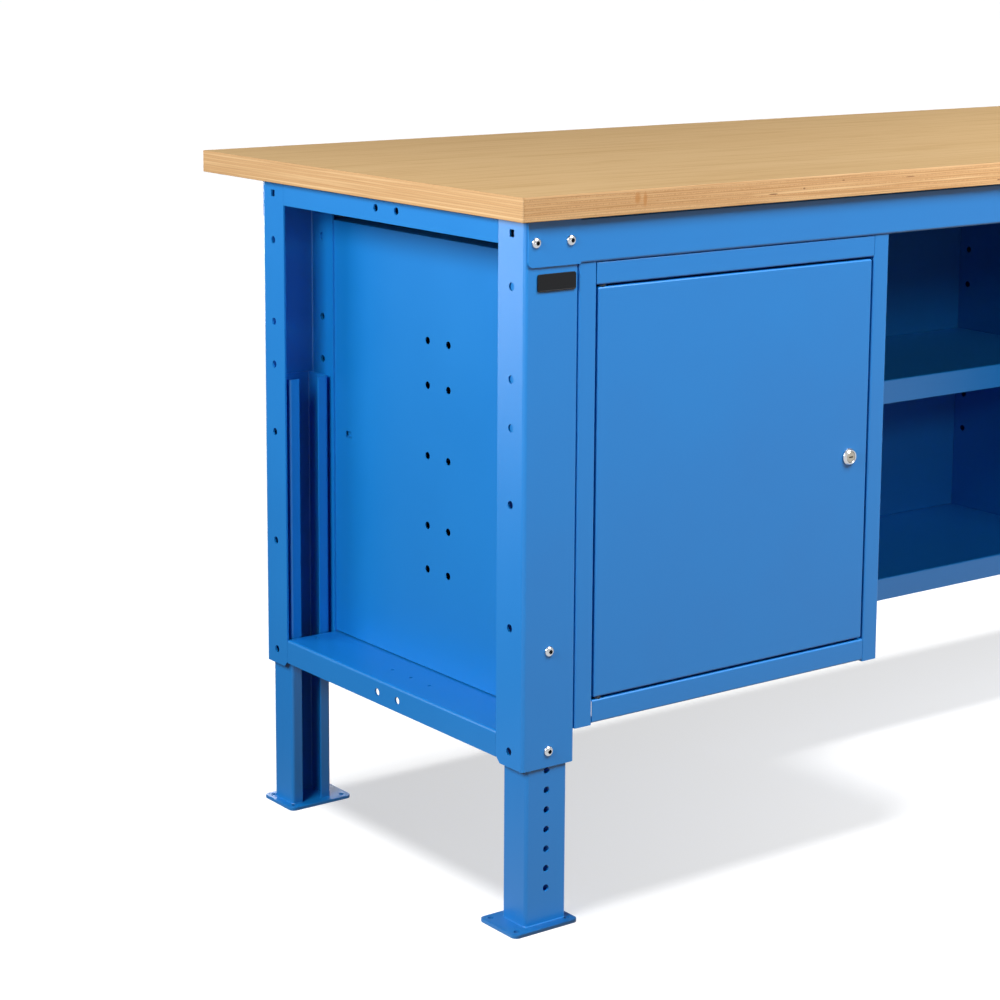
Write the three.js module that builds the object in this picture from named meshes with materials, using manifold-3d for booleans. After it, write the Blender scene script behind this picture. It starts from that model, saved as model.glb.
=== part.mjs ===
// A steel workbench with a plywood top. Two end frames stand on legs that slide inside their
// posts, a cabinet with a hinged, lockable door hangs at each end, and an open bay with two
// half-depth shelves lies between them. Millimetres, +Z up, +X to the right, the front towards -Y.
// The origin is on the floor, under the middle of the worktop.
import * as THREE from 'three';
import { mergeVertices } from 'three/addons/utils/BufferGeometryUtils.js';
import Module from 'manifold-3d';

const wasm = await Module();
wasm.setup();

// Clearances
const gap = 0.3;                    // between faces that touch
const turningGap = 0.3;             // round a pin or a plug that turns
const overshoot = 1;                // how far a cutting tool runs past the face it opens

// Worktop
const topWidth = 2000;
const topDepth = 750;
const topThickness = 30;

// End frames: channel posts, open towards each other
const postInset = 12.5;             // end of the worktop to a post's outer side
const postSetback = 12;             // front edge of the worktop to the front posts
const frameDepth = 597;             // front of a front post to back of a rear post
const postWidth = 81;
const postFlange = 54;
const postSheet = 2.5;
const postCornerCut = 8;            // cut at the lower free corner of a flange
const postDrop = 41;                // how far a post reaches below the cabinet
const postHoleRadius = 5.1;
const postUpperHoleDrop = 80;       // holes near the top of a post, below its top end
const postTopHoleDrop = 16;

// Legs and feet
const legSheet = 2.5;
const legSideClearance = 6.4;       // to the flanges of the post
const legRearClearance = 3.2;       // to the free edges of the post's flanges
const legLip = 16;
const legLength = 608;
const legHoleRadius = 4.5;
const legHolePitch = 25.4;
const legFirstHole = 45;            // lower end of a leg to its first hole
const legTopMargin = 25;            // least length of leg above its last hole
const legHoleAtRest = 7;            // which hole the lower screw holds
const legScrewSteps = 5;            // holes between the two screws of a leg
const legScrewRise = 20.4;          // lower end of a post to its lower screw
const footLength = 100;
const footWidth = 76;
const footThickness = 4.5;
const footCorner = 8;
const footOffset = 8;               // the foot plate sits off the leg's middle
const footHoleRadius = 4;
const footHoleInset = 11;

// Rails of the frame
const railSheet = 2;
const railHeight = 55.3;
const railFlange = 25;
const railInset = 2.7;              // outer side of a post to the end of a rail
const railCorner = 7;               // rounding of a rail's lower corners
const sideRailSheet = 2.5;
const topSideRailHeight = 30.5;
const topSideRailFlange = 40;
const topSideRailHoleDrop = 12.8;
const bottomSideRailHeight = 33;
const bottomSideRailWidth = 101;    // it reaches under the cabinet's side
const bottomSideRailDrop = 1.4;     // below the lower shelf's deck
const bottomSideRailHoleDrop = 17.5;

// Cabinet shells
const sheet = 1.2;
const cabinetWidth = 521.7;
const cabinetHeight = 580.9;
const panelInset = 2;               // back of the rear posts to the back of a side panel
const stileWidth = 27;
const stileReturn = 15;
const rearFlange = 20;
const channelDepth = 20;            // folded front of the cabinet's top and floor
const topChannelHeight = 28.1;
const floorChannelHeight = 29.4;
const floorStep = 2;                // the floor's front sits this much above the stiles' ends
const deckLip = 15;
const backLip = 6;
const panelHoleRadius = 4.7;
const panelMiddleRow = 290;         // lower edge of a panel to its middle row of holes
const panelRowOffsets = [-154, -94.5, 0, 94.5, 154];
const postRowOffsets = [-154, 0, 94.5, 154];
const columnSpread = 47;            // between the two columns of holes at mid depth
const columnShift = 3.5;            // how far they sit in front of the frame's middle

// Shelves
const halfShelfDepth = 298;
const lowerShelfLip = 34;
const upperShelfLip = 36;
const upperShelfRise = 18;          // middle row of holes to the upper shelf's deck
const cabinetShelfSetback = 48;
const cabinetShelfLip = 20;
const shelfSideClearance = 1;
const tabWidth = 14;                // tabs pressed inwards out of a side panel carry the shelf
const tabReach = 9;                 // how far a tab stands in from the panel's sheet
const tabSetback = 86;              // front plane, or back of the panel, to a tab's middle
const tabDrop = 8;                  // middle row of holes to the upper face of a tab

// Door, hinge pins and lock
const doorGap = 3;
const doorDepth = 18;
const stiffenerWidth = 50;
const stiffenerFoot = 15;
const stiffenerDepth = 10;
const hingeInset = 9;               // hinged edge of the door to the pin's axis
const hingeDepth = 6;               // front of the door to the pin's axis
const hingePinRadius = 3;
const hingePinReach = 9;            // past the door's return, and past the cabinet's sheet
const hingeCollarRadius = 5.4;
const lockFromEdge = 33;
const lockBelowMiddle = 4;
const lockFlangeRadius = 11.5;
const lockFlangeHeight = 4.5;
const lockBarrelRadius = 9;
const lockPlugRadius = 7.2;
const lockNutRadius = 14;
const lockNutHeight = 4;
const keywayWidth = 7;
const keywayHeight = 1.8;
const keywayDepth = 5;
const camTail = 8;                  // square end of the plug that carries the cam
const camWidth = 15;
const camSheet = 2.5;
const camCatch = 9;                 // how far the cam reaches behind the stile

// Screws and the blank plate
const screwHeadRadius = 6.6;
const screwHeadHeight = 3.4;
const screwShankRadius = 3.5;
const screwHoleRadius = 4.1;
const railScrewSpread = 26.2;       // middle of a post to each rail screw
const railScrewDrop = 25.8;         // top of the frame to the rail screws
const railScrewTail = 6;            // how far a rail screw passes the post's sheet
const namePlateWidth = 58;
const namePlateHeight = 21.5;
const namePlateThickness = 1.5;
const namePlateCorner = 3;
const namePlateShift = 6;           // middle of the post to the middle of the plate
const namePlateDrop = 74.7;         // top of the frame to the middle of the plate

// Facets of round shapes
const holeSides = 8;
const roundSides = 16;
const cornerSteps = 4;

// Heights, from the floor up
const legBottom = footThickness + gap;
const legHoleHeight = (index) => legBottom + legFirstHole + index * legHolePitch;
const legHoleCount = 1 + Math.floor((legLength - legFirstHole - legTopMargin) / legHolePitch);
const lowerScrewHeight = legHoleHeight(legHoleAtRest);
const postBottom = lowerScrewHeight - legScrewRise;
const cabinetBottom = postBottom + postDrop;
const cabinetTop = cabinetBottom + cabinetHeight;
const railBottom = cabinetTop + gap;
const frameTop = railBottom + railHeight;
const topBottom = frameTop + gap;
const lowerDeckTop = cabinetBottom - gap;
const middleRow = cabinetBottom + panelMiddleRow;
const upperDeckTop = middleRow + upperShelfRise;
const tabTop = middleRow - tabDrop;
const bottomSideRailTop = lowerDeckTop - bottomSideRailDrop;
const floorBottom = cabinetBottom + floorStep;
const floorTop = floorBottom + floorChannelHeight;
const ceilingBottom = cabinetTop - topChannelHeight;

// Places across and along the bench
const postSide = topWidth / 2 - postInset;
const postMiddle = postSide - postWidth / 2;
const panelSide = postSide - postWidth - gap;
const frontPlane = -topDepth / 2 + postSetback;
const backPlane = frontPlane + frameDepth;
const frameMiddle = (frontPlane + backPlane) / 2;
const panelBack = backPlane - panelInset;
const backPanelRear = panelBack - sheet - gap;
const backPanelFront = backPanelRear - backLip;
const halfShelfFront = panelBack - halfShelfDepth;
const holeColumns = [-1, 1].map((end) => frameMiddle - columnShift + end * columnSpread / 2);
const postColumns = [frontPlane + postFlange / 2, backPlane - postFlange / 2];
const tabColumns = [frontPlane + tabSetback, panelBack - tabSetback];

// Places of the cabinets, as distances from the middle of the bench
const cabinetOuter = panelSide;
const cabinetInner = cabinetOuter - cabinetWidth;
const openingOuter = cabinetOuter - stileWidth;
const openingInner = cabinetInner + stileWidth;
const deckOuter = cabinetOuter - sheet - gap;
const deckInner = cabinetInner + sheet + gap;
const bayHalf = cabinetInner - gap;

// Door and lock places
const doorOuter = openingOuter - doorGap;
const doorInner = openingInner + doorGap;
const doorBottom = floorTop + doorGap;
const doorTop = ceilingBottom - doorGap;
const doorBack = frontPlane + doorDepth;
const hingeOut = doorOuter - hingeInset;
const hingeY = frontPlane + hingeDepth;
const hingeHoleRadius = hingePinRadius + turningGap;
const lockOut = doorInner + lockFromEdge;
const lockZ = (doorBottom + doorTop) / 2 - lockBelowMiddle;
const lockFront = frontPlane - gap - lockFlangeHeight;
const lockBack = doorBack + gap;

const paint = (color) => new THREE.MeshStandardMaterial({ color, roughness: 0.42, metalness: 0 });
const bluePaint = paint(0x3f87cf);
const plywood = new THREE.MeshStandardMaterial({ color: 0xd2ae80, roughness: 0.6, metalness: 0 });
const zinc = new THREE.MeshStandardMaterial({ color: 0xc9cbcc, roughness: 0.25, metalness: 1 });
const blackPlastic = new THREE.MeshStandardMaterial({ color: 0x101113, roughness: 0.35 });

// A box from its [low, high] span along each axis.
function box(...spans) {
  const sizes = spans.map(([a, b]) => Math.abs(b - a));
  const middles = spans.map(([a, b]) => (a + b) / 2);
  return new THREE.BoxGeometry(...sizes).translate(...middles);
}

// A manifold solid from a closed three.js geometry.
function solid(geometry) {
  const bare = geometry.clone();
  bare.deleteAttribute('normal');
  bare.deleteAttribute('uv');
  const merged = mergeVertices(bare, 1e-4);
  return new wasm.Manifold(new wasm.Mesh({
    numProp: 3,
    vertProperties: new Float32Array(merged.getAttribute('position').array),
    triVerts: new Uint32Array(merged.getIndex().array),
  }));
}

function geometryOf(body) {
  const { vertProperties, triVerts } = body.getMesh();
  const geometry = new THREE.BufferGeometry();
  geometry.setAttribute('position', new THREE.BufferAttribute(vertProperties, 3));
  geometry.setIndex(new THREE.BufferAttribute(triVerts, 1));
  geometry.computeVertexNormals();
  return geometry;
}

// The base geometry, with others joined to it and then others cut from it.
function shaped(base, { joined = [], cuts = [] }) {
  const whole = joined.reduce((body, part) => body.add(solid(part)), solid(base));
  return geometryOf(cuts.reduce((body, tool) => body.subtract(solid(tool)), whole));
}

// An outline pushed along Z, or along X with [y, z] points, or along Y with [z, x] points.
const axisX = new THREE.Vector3(1, 0, 0);
const axisY = new THREE.Vector3(0, 1, 0);
const axisZ = new THREE.Vector3(0, 0, 1);
const pushes = {
  x: new THREE.Matrix4().makeBasis(axisY, axisZ, axisX),
  y: new THREE.Matrix4().makeBasis(axisZ, axisX, axisY),
  z: new THREE.Matrix4(),
};

function push(outline, axis, [low, high]) {
  const shape = new THREE.Shape(outline.map(([u, v]) => new THREE.Vector2(u, v)));
  const geometry = new THREE.ExtrudeGeometry(shape, { depth: high - low, bevelEnabled: false });
  return geometry.translate(0, 0, low).applyMatrix4(pushes[axis]);
}

// The section of a folded sheet: the path runs along its outer face, with the sheet on its left.
function folded(path, thickness) {
  const left = path.slice(1).map(([u, v], i) => {
    const along = new THREE.Vector2(u - path[i][0], v - path[i][1]).normalize();
    return new THREE.Vector2(-along.y, along.x);
  });
  const inner = path.map(([u, v], i) => {
    const before = left[Math.max(i - 1, 0)];
    const after = left[Math.min(i, left.length - 1)];
    const mitre = before.clone().add(after).multiplyScalar(thickness / (1 + before.dot(after)));
    return [u + mitre.x, v + mitre.y];
  });
  return [...path, ...inner.reverse()];
}

// A rectangle with round corners, about the origin.
function roundedOutline(width, height, radius) {
  const centres = [[1, 1], [-1, 1], [-1, -1], [1, -1]];
  return centres.flatMap(([u, v], quarter) => Array.from({ length: cornerSteps + 1 }, (_, step) => {
    const angle = (quarter + step / cornerSteps) * Math.PI / 2;
    return [
      u * (width / 2 - radius) + radius * Math.cos(angle),
      v * (height / 2 - radius) + radius * Math.sin(angle),
    ];
  }));
}

// A round bar along one axis. The centre's own value on that axis is not used.
function bar(radius, axis, centre, [low, high], sides = holeSides) {
  const geometry = new THREE.CylinderGeometry(radius, radius, high - low, sides);
  if (axis === 'x') geometry.rotateZ(-Math.PI / 2);
  if (axis === 'z') geometry.rotateX(Math.PI / 2);
  const place = [...centre];
  place['xyz'.indexOf(axis)] = (low + high) / 2;
  return geometry.translate(...place);
}

// The X span between two distances from the middle of the bench, on one side of it.
const across = (side, a, b) => [Math.min(side * a, side * b), Math.max(side * a, side * b)];

const bench = new THREE.Group();

function addPiece(name, geometry, finish, position = [0, 0, 0], turn = 0) {
  const piece = new THREE.Mesh(geometry, finish);
  piece.name = name;
  piece.position.set(...position);
  piece.rotation.z = turn;
  bench.add(piece);
}

// The four corners of the frame. A rear corner is a front one turned half round.
const corners = [
  { name: 'left_front', x: -postMiddle, y: frontPlane, turn: 0 },
  { name: 'right_front', x: postMiddle, y: frontPlane, turn: 0 },
  { name: 'left_rear', x: -postMiddle, y: backPlane, turn: Math.PI },
  { name: 'right_rear', x: postMiddle, y: backPlane, turn: Math.PI },
];

// Worktop
const worktop = box(
  [-topWidth / 2, topWidth / 2],
  [-topDepth / 2, topDepth / 2],
  [topBottom, topBottom + topThickness],
);
addPiece('worktop', worktop, plywood);

// A post: X from its middle, Y from the outer face of its web, Z from the floor.
const upperScrewHeight = lowerScrewHeight + legScrewSteps * legHolePitch;
const railScrewHeight = frameTop - railScrewDrop;

function postGeometry() {
  const half = postWidth / 2;
  const section = [[-half, postFlange], [-half, 0], [half, 0], [half, postFlange]];
  const channel = push(folded(section, postSheet), 'z', [postBottom, frameTop]);
  const corner = [
    [postFlange - postCornerCut - overshoot, postBottom - overshoot],
    [postFlange + overshoot, postBottom - overshoot],
    [postFlange + overshoot, postBottom + postCornerCut + overshoot],
  ];
  const wide = [-half - overshoot, half + overshoot];
  const through = [-overshoot, postSheet + overshoot];
  const flangeHoles = [
    lowerScrewHeight,
    ...postRowOffsets.map((offset) => middleRow + offset),
    frameTop - postUpperHoleDrop,
    frameTop - postTopHoleDrop,
  ];
  const webHoles = [
    [0, lowerScrewHeight],
    [0, upperScrewHeight],
    [-railScrewSpread, railScrewHeight],
    [railScrewSpread, railScrewHeight],
  ];
  return shaped(channel, {
    cuts: [
      push(corner, 'x', wide),
      ...flangeHoles.map((z) => bar(postHoleRadius, 'x', [0, postFlange / 2, z], wide)),
      ...webHoles.map(([x, z]) => bar(screwHoleRadius, 'y', [x, 0, z], through)),
    ],
  });
}

// A leg: a lipped channel behind the post's web, with a row of holes for the two screws.
function legGeometry() {
  const half = postWidth / 2 - postSheet - legSideClearance;
  const front = postSheet + gap;
  const back = postFlange - legRearClearance;
  const section = [
    [-half + legLip, back],
    [-half, back],
    [-half, front],
    [half, front],
    [half, back],
    [half - legLip, back],
  ];
  const channel = push(folded(section, legSheet), 'z', [legBottom, legBottom + legLength]);
  const through = [front - overshoot, front + legSheet + overshoot];
  const holes = Array.from({ length: legHoleCount }, (_, index) => legHoleHeight(index));
  return shaped(channel, {
    cuts: holes.map((z) => bar(legHoleRadius, 'y', [0, 0, z], through)),
  });
}

function footGeometry() {
  const middle = (postSheet + gap + postFlange - legRearClearance) / 2;
  const plate = push(roundedOutline(footLength, footWidth, footCorner), 'z', [0, footThickness]);
  const reachX = footLength / 2 - footHoleInset;
  const reachY = footWidth / 2 - footHoleInset;
  const spots = [[-reachX, -reachY], [reachX, -reachY], [reachX, reachY], [-reachX, reachY]];
  const through = [-overshoot, footThickness + overshoot];
  const holed = shaped(plate, {
    cuts: spots.map(([x, y]) => bar(footHoleRadius, 'z', [x, y, 0], through)),
  });
  return holed.translate(-footOffset, middle, 0);
}

// A domed screw along Y: the underside of its head at Y = 0, its shank behind.
function screwGeometry(shankLength) {
  const profile = [
    [0, -screwHeadHeight],
    [screwHeadRadius * 0.55, -screwHeadHeight * 0.85],
    [screwHeadRadius * 0.9, -screwHeadHeight * 0.45],
    [screwHeadRadius, 0],
    [screwShankRadius, 0],
    [screwShankRadius, shankLength],
    [0, shankLength],
  ];
  return new THREE.LatheGeometry(profile.map(([r, y]) => new THREE.Vector2(r, y)), holeSides);
}

const post = postGeometry();
const leg = legGeometry();
const foot = footGeometry();
const legScrew = screwGeometry(postSheet);
const railScrew = screwGeometry(railSheet + postSheet + railScrewTail);
const railFace = gap + railSheet;

for (const { name, x, y, turn } of corners) {
  addPiece(`${name}_post`, post, bluePaint, [x, y, 0], turn);
  addPiece(`${name}_leg`, leg, bluePaint, [x, y, 0], turn);
  addPiece(`${name}_foot_plate`, foot, bluePaint, [x, y, 0], turn);
}

// Screws of the front corners. The rear corners have the same holes for theirs.
for (const { name, x, y } of corners.filter(({ turn }) => turn === 0)) {
  addPiece(`${name}_lower_leg_screw`, legScrew, zinc, [x, y - gap, lowerScrewHeight]);
  addPiece(`${name}_upper_leg_screw`, legScrew, zinc, [x, y - gap, upperScrewHeight]);
  const railHeadY = y - railFace - gap;
  for (const [word, side] of [['outer', Math.sign(x)], ['inner', -Math.sign(x)]]) {
    const screwX = x + side * railScrewSpread;
    addPiece(`${name}_${word}_rail_screw`, railScrew, zinc, [screwX, railHeadY, railScrewHeight]);
  }
}

// The long rails: Y from the outer face of the posts. The rear rail is the front one turned round.
function railGeometry() {
  const face = -railFace;
  const section = [
    [face + railFlange, frameTop],
    [face, frameTop],
    [face, railBottom],
    [face + railFlange, railBottom],
  ];
  const channel = push(folded(section, railSheet), 'x', [-panelSide, panelSide]);
  const reach = postSide - railInset;
  const webSpan = [face, face + railSheet];
  const webMiddle = (railBottom + frameTop) / 2;
  const upperWeb = box([-reach, reach], webSpan, [webMiddle, frameTop]);
  const roundedWeb = push(roundedOutline(railHeight, 2 * reach, railCorner), 'y', webSpan);
  roundedWeb.translate(0, 0, webMiddle);
  const spots = [-1, 1].flatMap((side) => [
    side * (postMiddle - railScrewSpread),
    side * (postMiddle + railScrewSpread),
  ]);
  const through = [face - overshoot, face + railSheet + overshoot];
  return shaped(channel, {
    joined: [upperWeb, roundedWeb],
    cuts: spots.map((x) => bar(screwHoleRadius, 'y', [x, 0, railScrewHeight], through)),
  });
}

const rail = railGeometry();
addPiece('front_rail', rail, bluePaint, [0, frontPlane, 0]);
addPiece('rear_rail', rail, bluePaint, [0, backPlane, 0], Math.PI);

// The side rails run between the flanges of one end's posts. Their sections are [z, inset] points.
const sideRailSpan = [frontPlane + postFlange + gap, backPlane - postFlange - gap];

function sideRailGeometry(side, section, holeHeight) {
  const outline = folded(section, sideRailSheet).map(([z, inset]) => [z, side * (postSide - inset)]);
  const outer = side * (postSide + overshoot);
  const inner = side * (postSide - sideRailSheet - overshoot);
  const through = [Math.min(outer, inner), Math.max(outer, inner)];
  return shaped(push(outline, 'y', sideRailSpan), {
    cuts: holeColumns.map((y) => bar(postHoleRadius, 'x', [0, y, holeHeight], through)),
  });
}

const topSideRail = [
  [frameTop - topSideRailHeight, 0],
  [frameTop, 0],
  [frameTop, topSideRailFlange],
];
const bottomSideRail = [
  [bottomSideRailTop - bottomSideRailHeight, 0],
  [bottomSideRailTop, 0],
  [bottomSideRailTop, bottomSideRailWidth],
  [bottomSideRailTop - bottomSideRailHeight, bottomSideRailWidth],
];
for (const [word, side] of [['left', -1], ['right', 1]]) {
  const upper = sideRailGeometry(side, topSideRail, frameTop - topSideRailHoleDrop);
  const lower = sideRailGeometry(side, bottomSideRail, bottomSideRailTop - bottomSideRailHoleDrop);
  addPiece(`${word}_top_side_rail`, upper, bluePaint);
  addPiece(`${word}_bottom_side_rail`, lower, bluePaint);
}

// Side panels: a stile folded at the front, a flange at the back, and tabs for the shelf. Each tab
// is pressed out of the opening above it.
function sidePanelGeometry(face, inward) {
  const section = [
    [rearFlange, panelBack],
    [0, panelBack],
    [0, frontPlane],
    [stileWidth, frontPlane],
    [stileWidth, frontPlane + stileReturn],
  ];
  const outline = folded(section, sheet).map(([u, y]) => [face + inward * u, y]);
  const through = across(1, face - inward * overshoot, face + inward * (sheet + overshoot));
  const rows = panelRowOffsets.map((offset) => middleRow + offset);
  const columns = [postColumns[0], ...holeColumns, postColumns[1]];
  const holes = columns.flatMap((y) => rows.map((z) => [0, y, z]));
  const tabSpans = tabColumns.map((y) => [y - tabWidth / 2, y + tabWidth / 2]);
  const tabLength = across(1, face, face + inward * (sheet + tabReach));
  return shaped(push(outline, 'z', [cabinetBottom, cabinetTop]), {
    joined: tabSpans.map((width) => box(tabLength, width, [tabTop - sheet, tabTop])),
    cuts: [
      ...holes.map((spot) => bar(panelHoleRadius, 'x', spot, through)),
      ...tabSpans.map((width) => box(through, width, [tabTop, tabTop + tabReach])),
    ],
  });
}

// A sheet pan: the outer box less a smaller one that opens through one side.
function panGeometry(x, y, z, wall, open) {
  const inside = { x, y, z };
  for (const axis of ['x', 'y', 'z']) {
    const [low, high] = inside[axis];
    inside[axis] = [low + wall, high - wall];
  }
  const [axis, end] = open;
  inside[axis][end] += end === 0 ? -wall - overshoot : wall + overshoot;
  return shaped(box(x, y, z), { cuts: [box(inside.x, inside.y, inside.z)] });
}

// A cabinet's top and floor: a folded channel between the stiles, with a deck behind it.
function cabinetDeckGeometry(side, low, high, pinnedZ) {
  const section = [
    [frontPlane + channelDepth, high],
    [frontPlane, high],
    [frontPlane, low],
    [frontPlane + channelDepth, low],
  ];
  const channelSpan = across(side, openingInner + gap, openingOuter - gap);
  const channel = push(folded(section, sheet), 'x', channelSpan);
  const deckFront = frontPlane + stileReturn + gap;
  const deckBack = backPanelFront - gap;
  const deckSpan = across(side, deckInner, deckOuter);
  const deck = box(deckSpan, [deckFront, deckBack], [high - deckLip, high]);
  const hollow = box(
    [deckSpan[0] + sheet, deckSpan[1] - sheet],
    [deckFront - overshoot, deckBack - sheet],
    [high - deckLip - overshoot, high - sheet],
  );
  const tray = geometryOf(solid(deck).subtract(solid(hollow)));
  const pinSpan = [pinnedZ - sheet - overshoot, pinnedZ + sheet + overshoot];
  return shaped(channel, {
    joined: [tray],
    cuts: [bar(hingeHoleRadius, 'z', [side * hingeOut, hingeY, 0], pinSpan)],
  });
}

const backSpan = [backPanelFront, backPanelRear];
const fullHeight = [cabinetBottom, cabinetTop];
const shelfTop = tabTop + gap + sheet;

// The shell of a cabinet. Its shelf has lips at the front and back, and its plain sides lie on tabs.
function addCabinet(word, side) {
  const outer = sidePanelGeometry(side * cabinetOuter, -side);
  const inner = sidePanelGeometry(side * cabinetInner, side);
  const top = cabinetDeckGeometry(side, ceilingBottom, cabinetTop, ceilingBottom);
  const floor = cabinetDeckGeometry(side, floorBottom, floorTop, floorTop);
  const backWidth = across(side, deckInner, deckOuter);
  const back = panGeometry(backWidth, backSpan, fullHeight, sheet, ['y', 1]);
  const shelfMargin = sheet + shelfSideClearance;
  const shelfWidth = across(side, cabinetInner + shelfMargin, cabinetOuter - shelfMargin);
  const shelfDepth = [frontPlane + cabinetShelfSetback, backPanelFront - gap];
  const shelf = shaped(box(shelfWidth, shelfDepth, [shelfTop - cabinetShelfLip, shelfTop]), {
    cuts: [
      box(
        [shelfWidth[0] - overshoot, shelfWidth[1] + overshoot],
        [shelfDepth[0] + sheet, shelfDepth[1] - sheet],
        [shelfTop - cabinetShelfLip - overshoot, shelfTop - sheet],
      ),
    ],
  });
  const shell = { outer_side: outer, inner_side: inner, top, floor, back, shelf };
  for (const [part, geometry] of Object.entries(shell)) {
    addPiece(`${word}_cabinet_${part}`, geometry, bluePaint);
  }
}

// The open bay: a back panel with lips folded rearwards, and two half-depth shelves. The lower
// shelf runs under both cabinets, from one bottom side rail to the other.
const bayWidth = [-bayHalf, bayHalf];
const bayBack = panGeometry(bayWidth, backSpan, fullHeight, sheet, ['y', 1]);
const lowerShelfHalf = postSide - bottomSideRailWidth - gap;
const lowerShelf = panGeometry(
  [-lowerShelfHalf, lowerShelfHalf],
  [halfShelfFront, panelBack],
  [lowerDeckTop - lowerShelfLip, lowerDeckTop],
  sheet,
  ['z', 0],
);
const upperShelf = panGeometry(
  bayWidth,
  [halfShelfFront, backPanelFront - gap],
  [upperDeckTop - upperShelfLip, upperDeckTop],
  sheet,
  ['z', 0],
);
addPiece('bay_back_panel', bayBack, bluePaint);
addPiece('bay_lower_shelf', lowerShelf, bluePaint);
addPiece('bay_upper_shelf', upperShelf, bluePaint);

// A door: a pan that opens to the rear, with a hat-shaped stiffener behind its front
const doorSheetBack = frontPlane + sheet;

function doorGeometry(side) {
  const pan = panGeometry(
    across(side, doorInner, doorOuter),
    [frontPlane, doorBack],
    [doorBottom, doorTop],
    sheet,
    ['y', 1],
  );
  const lockCut = [frontPlane - overshoot, doorSheetBack + overshoot];
  const pinCut = [doorBottom - overshoot, doorTop + overshoot];
  return shaped(pan, {
    cuts: [
      bar(lockBarrelRadius + gap, 'y', [side * lockOut, 0, lockZ], lockCut, roundSides),
      bar(hingeHoleRadius, 'z', [side * hingeOut, hingeY, 0], pinCut),
    ],
  });
}

function stiffenerGeometry(side) {
  const middle = side * (doorInner + doorOuter) / 2;
  const hatFoot = doorSheetBack + gap;
  const hatTop = hatFoot + stiffenerDepth;
  const hatHalf = stiffenerWidth / 2;
  const hat = [
    [-hatHalf - stiffenerFoot, hatFoot],
    [-hatHalf, hatFoot],
    [-hatHalf, hatTop],
    [hatHalf, hatTop],
    [hatHalf, hatFoot],
    [hatHalf + stiffenerFoot, hatFoot],
  ].map(([x, y]) => [middle + x, y]);
  return push(folded(hat, sheet), 'z', [doorBottom + sheet + gap, doorTop - sheet - gap]);
}

// Hinge pins: each passes a sheet of the cabinet and a return of the door, with a collar between.
function hingePinGeometry(side, cabinetFace, doorFace) {
  const up = Math.sign(doorFace - cabinetFace);
  const ends = [
    cabinetFace - up * (sheet + hingePinReach),
    doorFace + up * (sheet + hingePinReach),
  ];
  const collarEnds = [cabinetFace + up * gap, doorFace - up * gap];
  const centre = [side * hingeOut, hingeY, 0];
  const pin = bar(hingePinRadius, 'z', centre, [Math.min(...ends), Math.max(...ends)]);
  const collarSpan = [Math.min(...collarEnds), Math.max(...collarEnds)];
  return shaped(pin, { joined: [bar(hingeCollarRadius, 'z', centre, collarSpan)] });
}

function addDoor(word, side) {
  addPiece(`${word}_door_panel`, doorGeometry(side), bluePaint);
  addPiece(`${word}_door_stiffener`, stiffenerGeometry(side), bluePaint);
  addPiece(`${word}_lower_hinge_pin`, hingePinGeometry(side, floorTop, doorBottom), zinc);
  addPiece(`${word}_upper_hinge_pin`, hingePinGeometry(side, ceilingBottom, doorTop), zinc);
}

// Cylinder lock about the Y axis: a flanged barrel and its nut on the door, a plug that turns in it
// with a cam. The cam hangs straight down with the lock open, and turns behind the inner stile.
const axis = [0, 0, 0];
const lockBore = lockPlugRadius + turningGap;
const lockThrough = [lockFront - overshoot, lockBack + overshoot];
const lockBody = shaped(bar(lockBarrelRadius, 'y', axis, [lockFront, lockBack], roundSides), {
  joined: [bar(lockFlangeRadius, 'y', axis, [lockFront, frontPlane - gap], roundSides)],
  cuts: [bar(lockBore, 'y', axis, lockThrough, roundSides)],
});

const nutFront = doorSheetBack + gap;
const nutSpan = [nutFront, nutFront + lockNutHeight];
const nutBore = [nutSpan[0] - overshoot, nutSpan[1] + overshoot];
const hexSides = 6;
const lockNut = shaped(bar(lockNutRadius, 'y', axis, nutSpan, hexSides), {
  cuts: [bar(lockBarrelRadius + gap, 'y', axis, nutBore, roundSides)],
});

const camFront = lockBack + gap;
const camBack = camFront + camSheet;
const evenly = (size) => [-size / 2, size / 2];
const plugTail = box(
  evenly(camTail),
  [lockFront + keywayDepth + overshoot, camBack],
  evenly(camTail),
);
const keyway = box(
  evenly(keywayWidth),
  [lockFront - overshoot, lockFront + keywayDepth],
  evenly(keywayHeight),
);
const lockPlug = shaped(bar(lockPlugRadius, 'y', axis, [lockFront, lockBack], roundSides), {
  joined: [plugTail],
  cuts: [keyway],
});

const camReach = lockFromEdge + doorGap + camCatch;
const camHole = evenly(camTail + 2 * gap);
const lockCam = shaped(box(evenly(camWidth), [camFront, camBack], [-camReach, camWidth / 2]), {
  cuts: [box(camHole, [camFront - overshoot, camBack + overshoot], camHole)],
});

function addLock(word, side) {
  const place = [side * lockOut, 0, lockZ];
  addPiece(`${word}_lock_body`, lockBody, zinc, place);
  addPiece(`${word}_lock_nut`, lockNut, zinc, place);
  addPiece(`${word}_lock_plug`, lockPlug, zinc, place);
  addPiece(`${word}_lock_cam`, lockCam, zinc, place);
}

for (const [word, side] of [['left', -1], ['right', 1]]) {
  addCabinet(word, side);
  addDoor(word, side);
  addLock(word, side);
}

// A blank plate on the left front post
const plateOutline = roundedOutline(namePlateHeight, namePlateWidth, namePlateCorner);
const namePlate = push(plateOutline, 'y', [-gap - namePlateThickness, -gap]);
const platePlace = [namePlateShift - postMiddle, frontPlane, frameTop - namePlateDrop];
addPiece('blank_name_plate', namePlate, blackPlastic, platePlace);

export default bench;
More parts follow.
